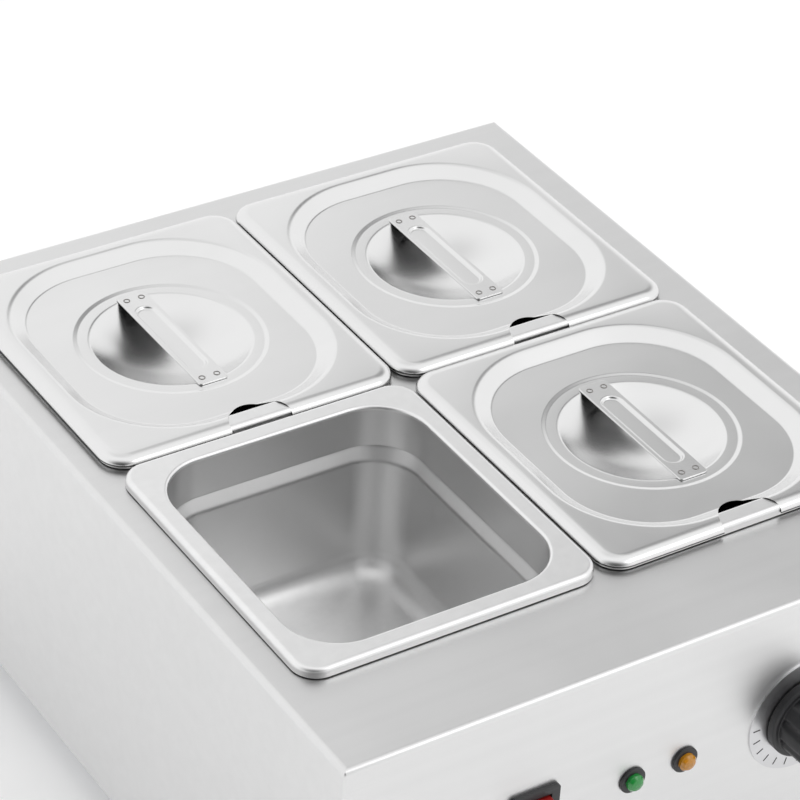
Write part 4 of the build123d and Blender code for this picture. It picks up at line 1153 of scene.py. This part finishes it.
class MELTER_OT_feet(bpy.types.Operator):
    """Turns the rubber feet and dresses their screws and nuts."""

    bl_idname = "melter.feet"
    bl_label = "Feet"

    def execute(self, context):
        size = props().foot
        rubber = grained("foot rubber", props().finish.rubber, 0.62, scale=700.0, depth=0.25, lift=1.6)
        for place in PLACES:
            node = "foot_" + place
            low, high, half, under = measured(node)
            under.z = low.z
            top = half.x
            tall = high.z - low.z
            bottom = top - size.taper
            profile = eased([(size.bore, size.recess_depth, 0),
                             (size.recess, size.recess_depth, size.edge / 2),
                             (size.recess, 0, size.edge / 2), (bottom, 0, size.edge),
                             (top, tall, size.edge / 2), (size.bore, tall, 0)])
            foot = lathe(profile, Matrix.Translation(under), segments=72, ring=True)
            place_piece("foot-" + place.replace("_", "-"), foot, rubber, "body", [node])
        for node in ("foot_screws", "foot_nuts"):
            dress(node, zinc_finish())
        return {"FINISHED"}


class MELTER_OT_inside(bpy.types.Operator):
    """Dresses what the casing hides: well, insulation, heater, sensor, block and wiring."""

    bl_idname = "melter.inside"
    bl_label = "Inside"

    def execute(self, context):
        wool = grained("mineral wool", (0.42, 0.38, 0.28), 0.92, scale=320.0, depth=0.8, distance=MM)
        copper = steel("sensor copper", (0.62, 0.33, 0.22), 0.25, (200.0, 20.0, 200.0), seed=17.0)
        brass = steel("terminal brass", (0.68, 0.52, 0.24), 0.25, (200.0, 20.0, 200.0), seed=19.0)
        sheath = steel("element sheath", (0.34, 0.32, 0.30), 0.42, (200.0, 20.0, 200.0), seed=23.0)
        plate = steel("spreader aluminium", (0.72, 0.72, 0.73), 0.38, (20.0, 400.0, 400.0), seed=29.0)
        well = steel("well steel", (0.66, 0.66, 0.66), 0.34, (200.0, 200.0, 14.0), seed=31.0)
        block = grained("white block", (0.74, 0.73, 0.70), 0.42, lift=1.15)
        sleeve = grained("wire sleeve", (0.45, 0.10, 0.05), 0.5, lift=1.3)
        finishes = {"heated_well": well, "heat_spreader": plate, "heating_element": sheath,
                    "side_insulation": wool, "floor_insulation": wool, "thermostat_bulb": copper,
                    "element_terminals": brass, "earth_stud": brass, "earth_nut": brass,
                    "terminal_block": block, "wiring": sleeve, "safety_cutout": plastic_finish()}
        for node in ("bulb_clip", "clamp_bars", "clamp_studs", "clamp_nuts"):
            finishes[node] = zinc_finish()
        for node, finish in finishes.items():
            dress(node, finish)
        return {"FINISHED"}


class MELTER_OT_stage(bpy.types.Operator):
    """Sets the camera, the white sweep and the light."""

    bl_idname = "melter.stage"
    bl_label = "Stage"

    def camera(self, size):
        """Camera placed by its angles and by where the pans' meeting point falls in the picture."""
        tops = [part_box("pan_" + place) for place in PLACES]
        meeting = sum(((low + high) / 2 for low, high in tops), Vector()) / len(tops)
        meeting.z = tops[0][1].z
        heading = -size.azimuth
        level = math.cos(size.elevation)
        forward = Vector((math.sin(heading) * level, math.cos(heading) * level, -math.sin(size.elevation)))
        right = Vector((math.cos(heading), -math.sin(heading), 0))
        tilt = Matrix.Rotation(-size.roll, 3, forward)
        right = tilt @ right
        up = right.cross(forward)
        data = bpy.data.cameras.new("camera")
        data.sensor_width = SENSOR
        data.lens = size.lens
        camera = bpy.data.objects.new("camera", data)
        turn = Matrix((right, up, -forward)).transposed().to_4x4()
        spot = meeting - right * size.aim_right - up * size.aim_up - forward * size.distance
        camera.matrix_world = Matrix.Translation(spot) @ turn
        bpy.context.scene.collection.objects.link(camera)
        bpy.context.scene.camera = camera

    def front_lamp(self, size):
        """Soft rectangular light in front of the melter."""
        data = bpy.data.lights.new("front lamp", "AREA")
        data.shape = "RECTANGLE"
        data.size, data.size_y = size.lamp_size
        data.energy = size.lamp
        lamp = bpy.data.objects.new("front lamp", data)
        lamp.location = size.lamp_place
        aim = Vector(size.lamp_aim) - Vector(size.lamp_place)
        lamp.rotation_euler = aim.to_track_quat("-Z", "Y").to_euler()
        bpy.context.scene.collection.objects.link(lamp)

    def surround(self, size):
        """World: white to the camera, and pale to the rest, with two grey cards and a dark room."""
        world = bpy.data.worlds.new("studio")
        bpy.context.scene.world = world
        world.use_nodes = True
        tree = world.node_tree
        tree.nodes.clear()
        place = tree.nodes.new("ShaderNodeTexCoord")
        pale = (1.0, 1.0, 1.0)
        darker = ((size.side_card, SIDE_TONES), (size.top_card, TOP_TONES), (size.room, ROOM_TONES))
        for direction, tones in darker:
            aside = add_node(tree, "ShaderNodeVectorMath", {
                0: place.outputs["Generated"], 1: Vector(direction).normalized()}, operation="DOT_PRODUCT")
            stops = [(math.cos(math.radians(angle)), grey(tone)) for angle, tone in tones]
            both = add_node(tree, "ShaderNodeVectorMath", {
                0: pale, 1: stepped(tree, aside.outputs["Value"], stops)}, operation="MULTIPLY")
            pale = both.outputs["Vector"]
        around = add_node(tree, "ShaderNodeBackground", {"Color": pale, "Strength": size.surround})
        white = add_node(tree, "ShaderNodeBackground", {"Color": (1, 1, 1, 1)})
        path = tree.nodes.new("ShaderNodeLightPath")
        mix = add_node(tree, "ShaderNodeMixShader", {
            "Fac": path.outputs["Is Camera Ray"], 1: around.outputs["Background"],
            2: white.outputs["Background"]})
        add_node(tree, "ShaderNodeOutputWorld", {"Surface": mix.outputs["Shader"]})

    def paper(self, size):
        """Pale paper that looks white to the camera, metal and glass, with the soft shadow kept."""
        material = grained("paper sweep", props().finish.paper, 0.8, scale=60.0, depth=0.02, lift=1.02)
        tree = material.node_tree
        path = tree.nodes.new("ShaderNodeLightPath")
        seen = path.outputs["Is Camera Ray"]
        for kind in ("Is Glossy Ray", "Is Transmission Ray"):
            either = add_node(tree, "ShaderNodeMath", {0: seen, 1: path.outputs[kind]}, operation="MAXIMUM")
            seen = either.outputs["Value"]
        feed(tree, tree.nodes["Principled BSDF"], {
            "Emission Color": (1, 1, 1, 1), "Emission Strength": ranged(tree, seen, 0.0, size.floor_glow)})
        return material

    def execute(self, context):
        size = props().stage
        self.camera(size)
        context.scene.view_settings.view_transform = "Standard"
        self.surround(size)
        reach = size.floor_reach
        corners = [(-reach, -reach, 0), (reach, -reach, 0), (reach, reach, 0), (-reach, reach, 0)]
        floor_mesh = bpy.data.meshes.new("floor")
        floor_mesh.from_pydata(corners, [], [(0, 1, 2, 3)])
        floor_mesh.materials.append(self.paper(size))
        floor = bpy.data.objects.new("floor", floor_mesh)
        context.scene.collection.objects.link(floor)
        self.front_lamp(size)
        return {"FINISHED"}


SETTINGS = (PanSettings, LidSettings, HandleSettings, CasingSettings, ControlSettings, FootSettings,
            FinishSettings, StageSettings, MelterSettings)
OPERATORS = (MELTER_OT_pans, MELTER_OT_lids, MELTER_OT_handles, MELTER_OT_casing, MELTER_OT_screws,
             MELTER_OT_thermostat, MELTER_OT_switch, MELTER_OT_lamps, MELTER_OT_gland, MELTER_OT_feet,
             MELTER_OT_inside, MELTER_OT_stage)


class MELTER_PT_pieces(bpy.types.Panel):
    """Lists the melter's pieces in the sidebar."""

    bl_idname = "MELTER_PT_pieces"
    bl_label = "Chocolate Melter"
    bl_space_type = "VIEW_3D"
    bl_region_type = "UI"
    bl_category = "Melter"

    def draw(self, context):
        for piece in OPERATORS:
            self.layout.operator(piece.bl_idname)


def register():
    """Adds the classes and the scene's settings."""
    for each in (*SETTINGS, *OPERATORS, MELTER_PT_pieces):
        bpy.utils.register_class(each)
    bpy.types.Scene.melter = PointerProperty(type=MelterSettings, name="Melter",
                                             description="Settings of the melter")


def unregister():
    """Takes them out again."""
    del bpy.types.Scene.melter
    for each in reversed((*SETTINGS, *OPERATORS, MELTER_PT_pieces)):
        bpy.utils.unregister_class(each)


def main():
    """Builds every piece and the stage."""
    register()
    bpy.ops.melter.pans()
    bpy.ops.melter.lids()
    bpy.ops.melter.handles()
    bpy.ops.melter.casing()
    bpy.ops.melter.screws()
    bpy.ops.melter.thermostat()
    bpy.ops.melter.switch()
    bpy.ops.melter.lamps()
    bpy.ops.melter.gland()
    bpy.ops.melter.feet()
    bpy.ops.melter.inside()
    bpy.ops.melter.stage()


if __name__ == "__main__":
    main()
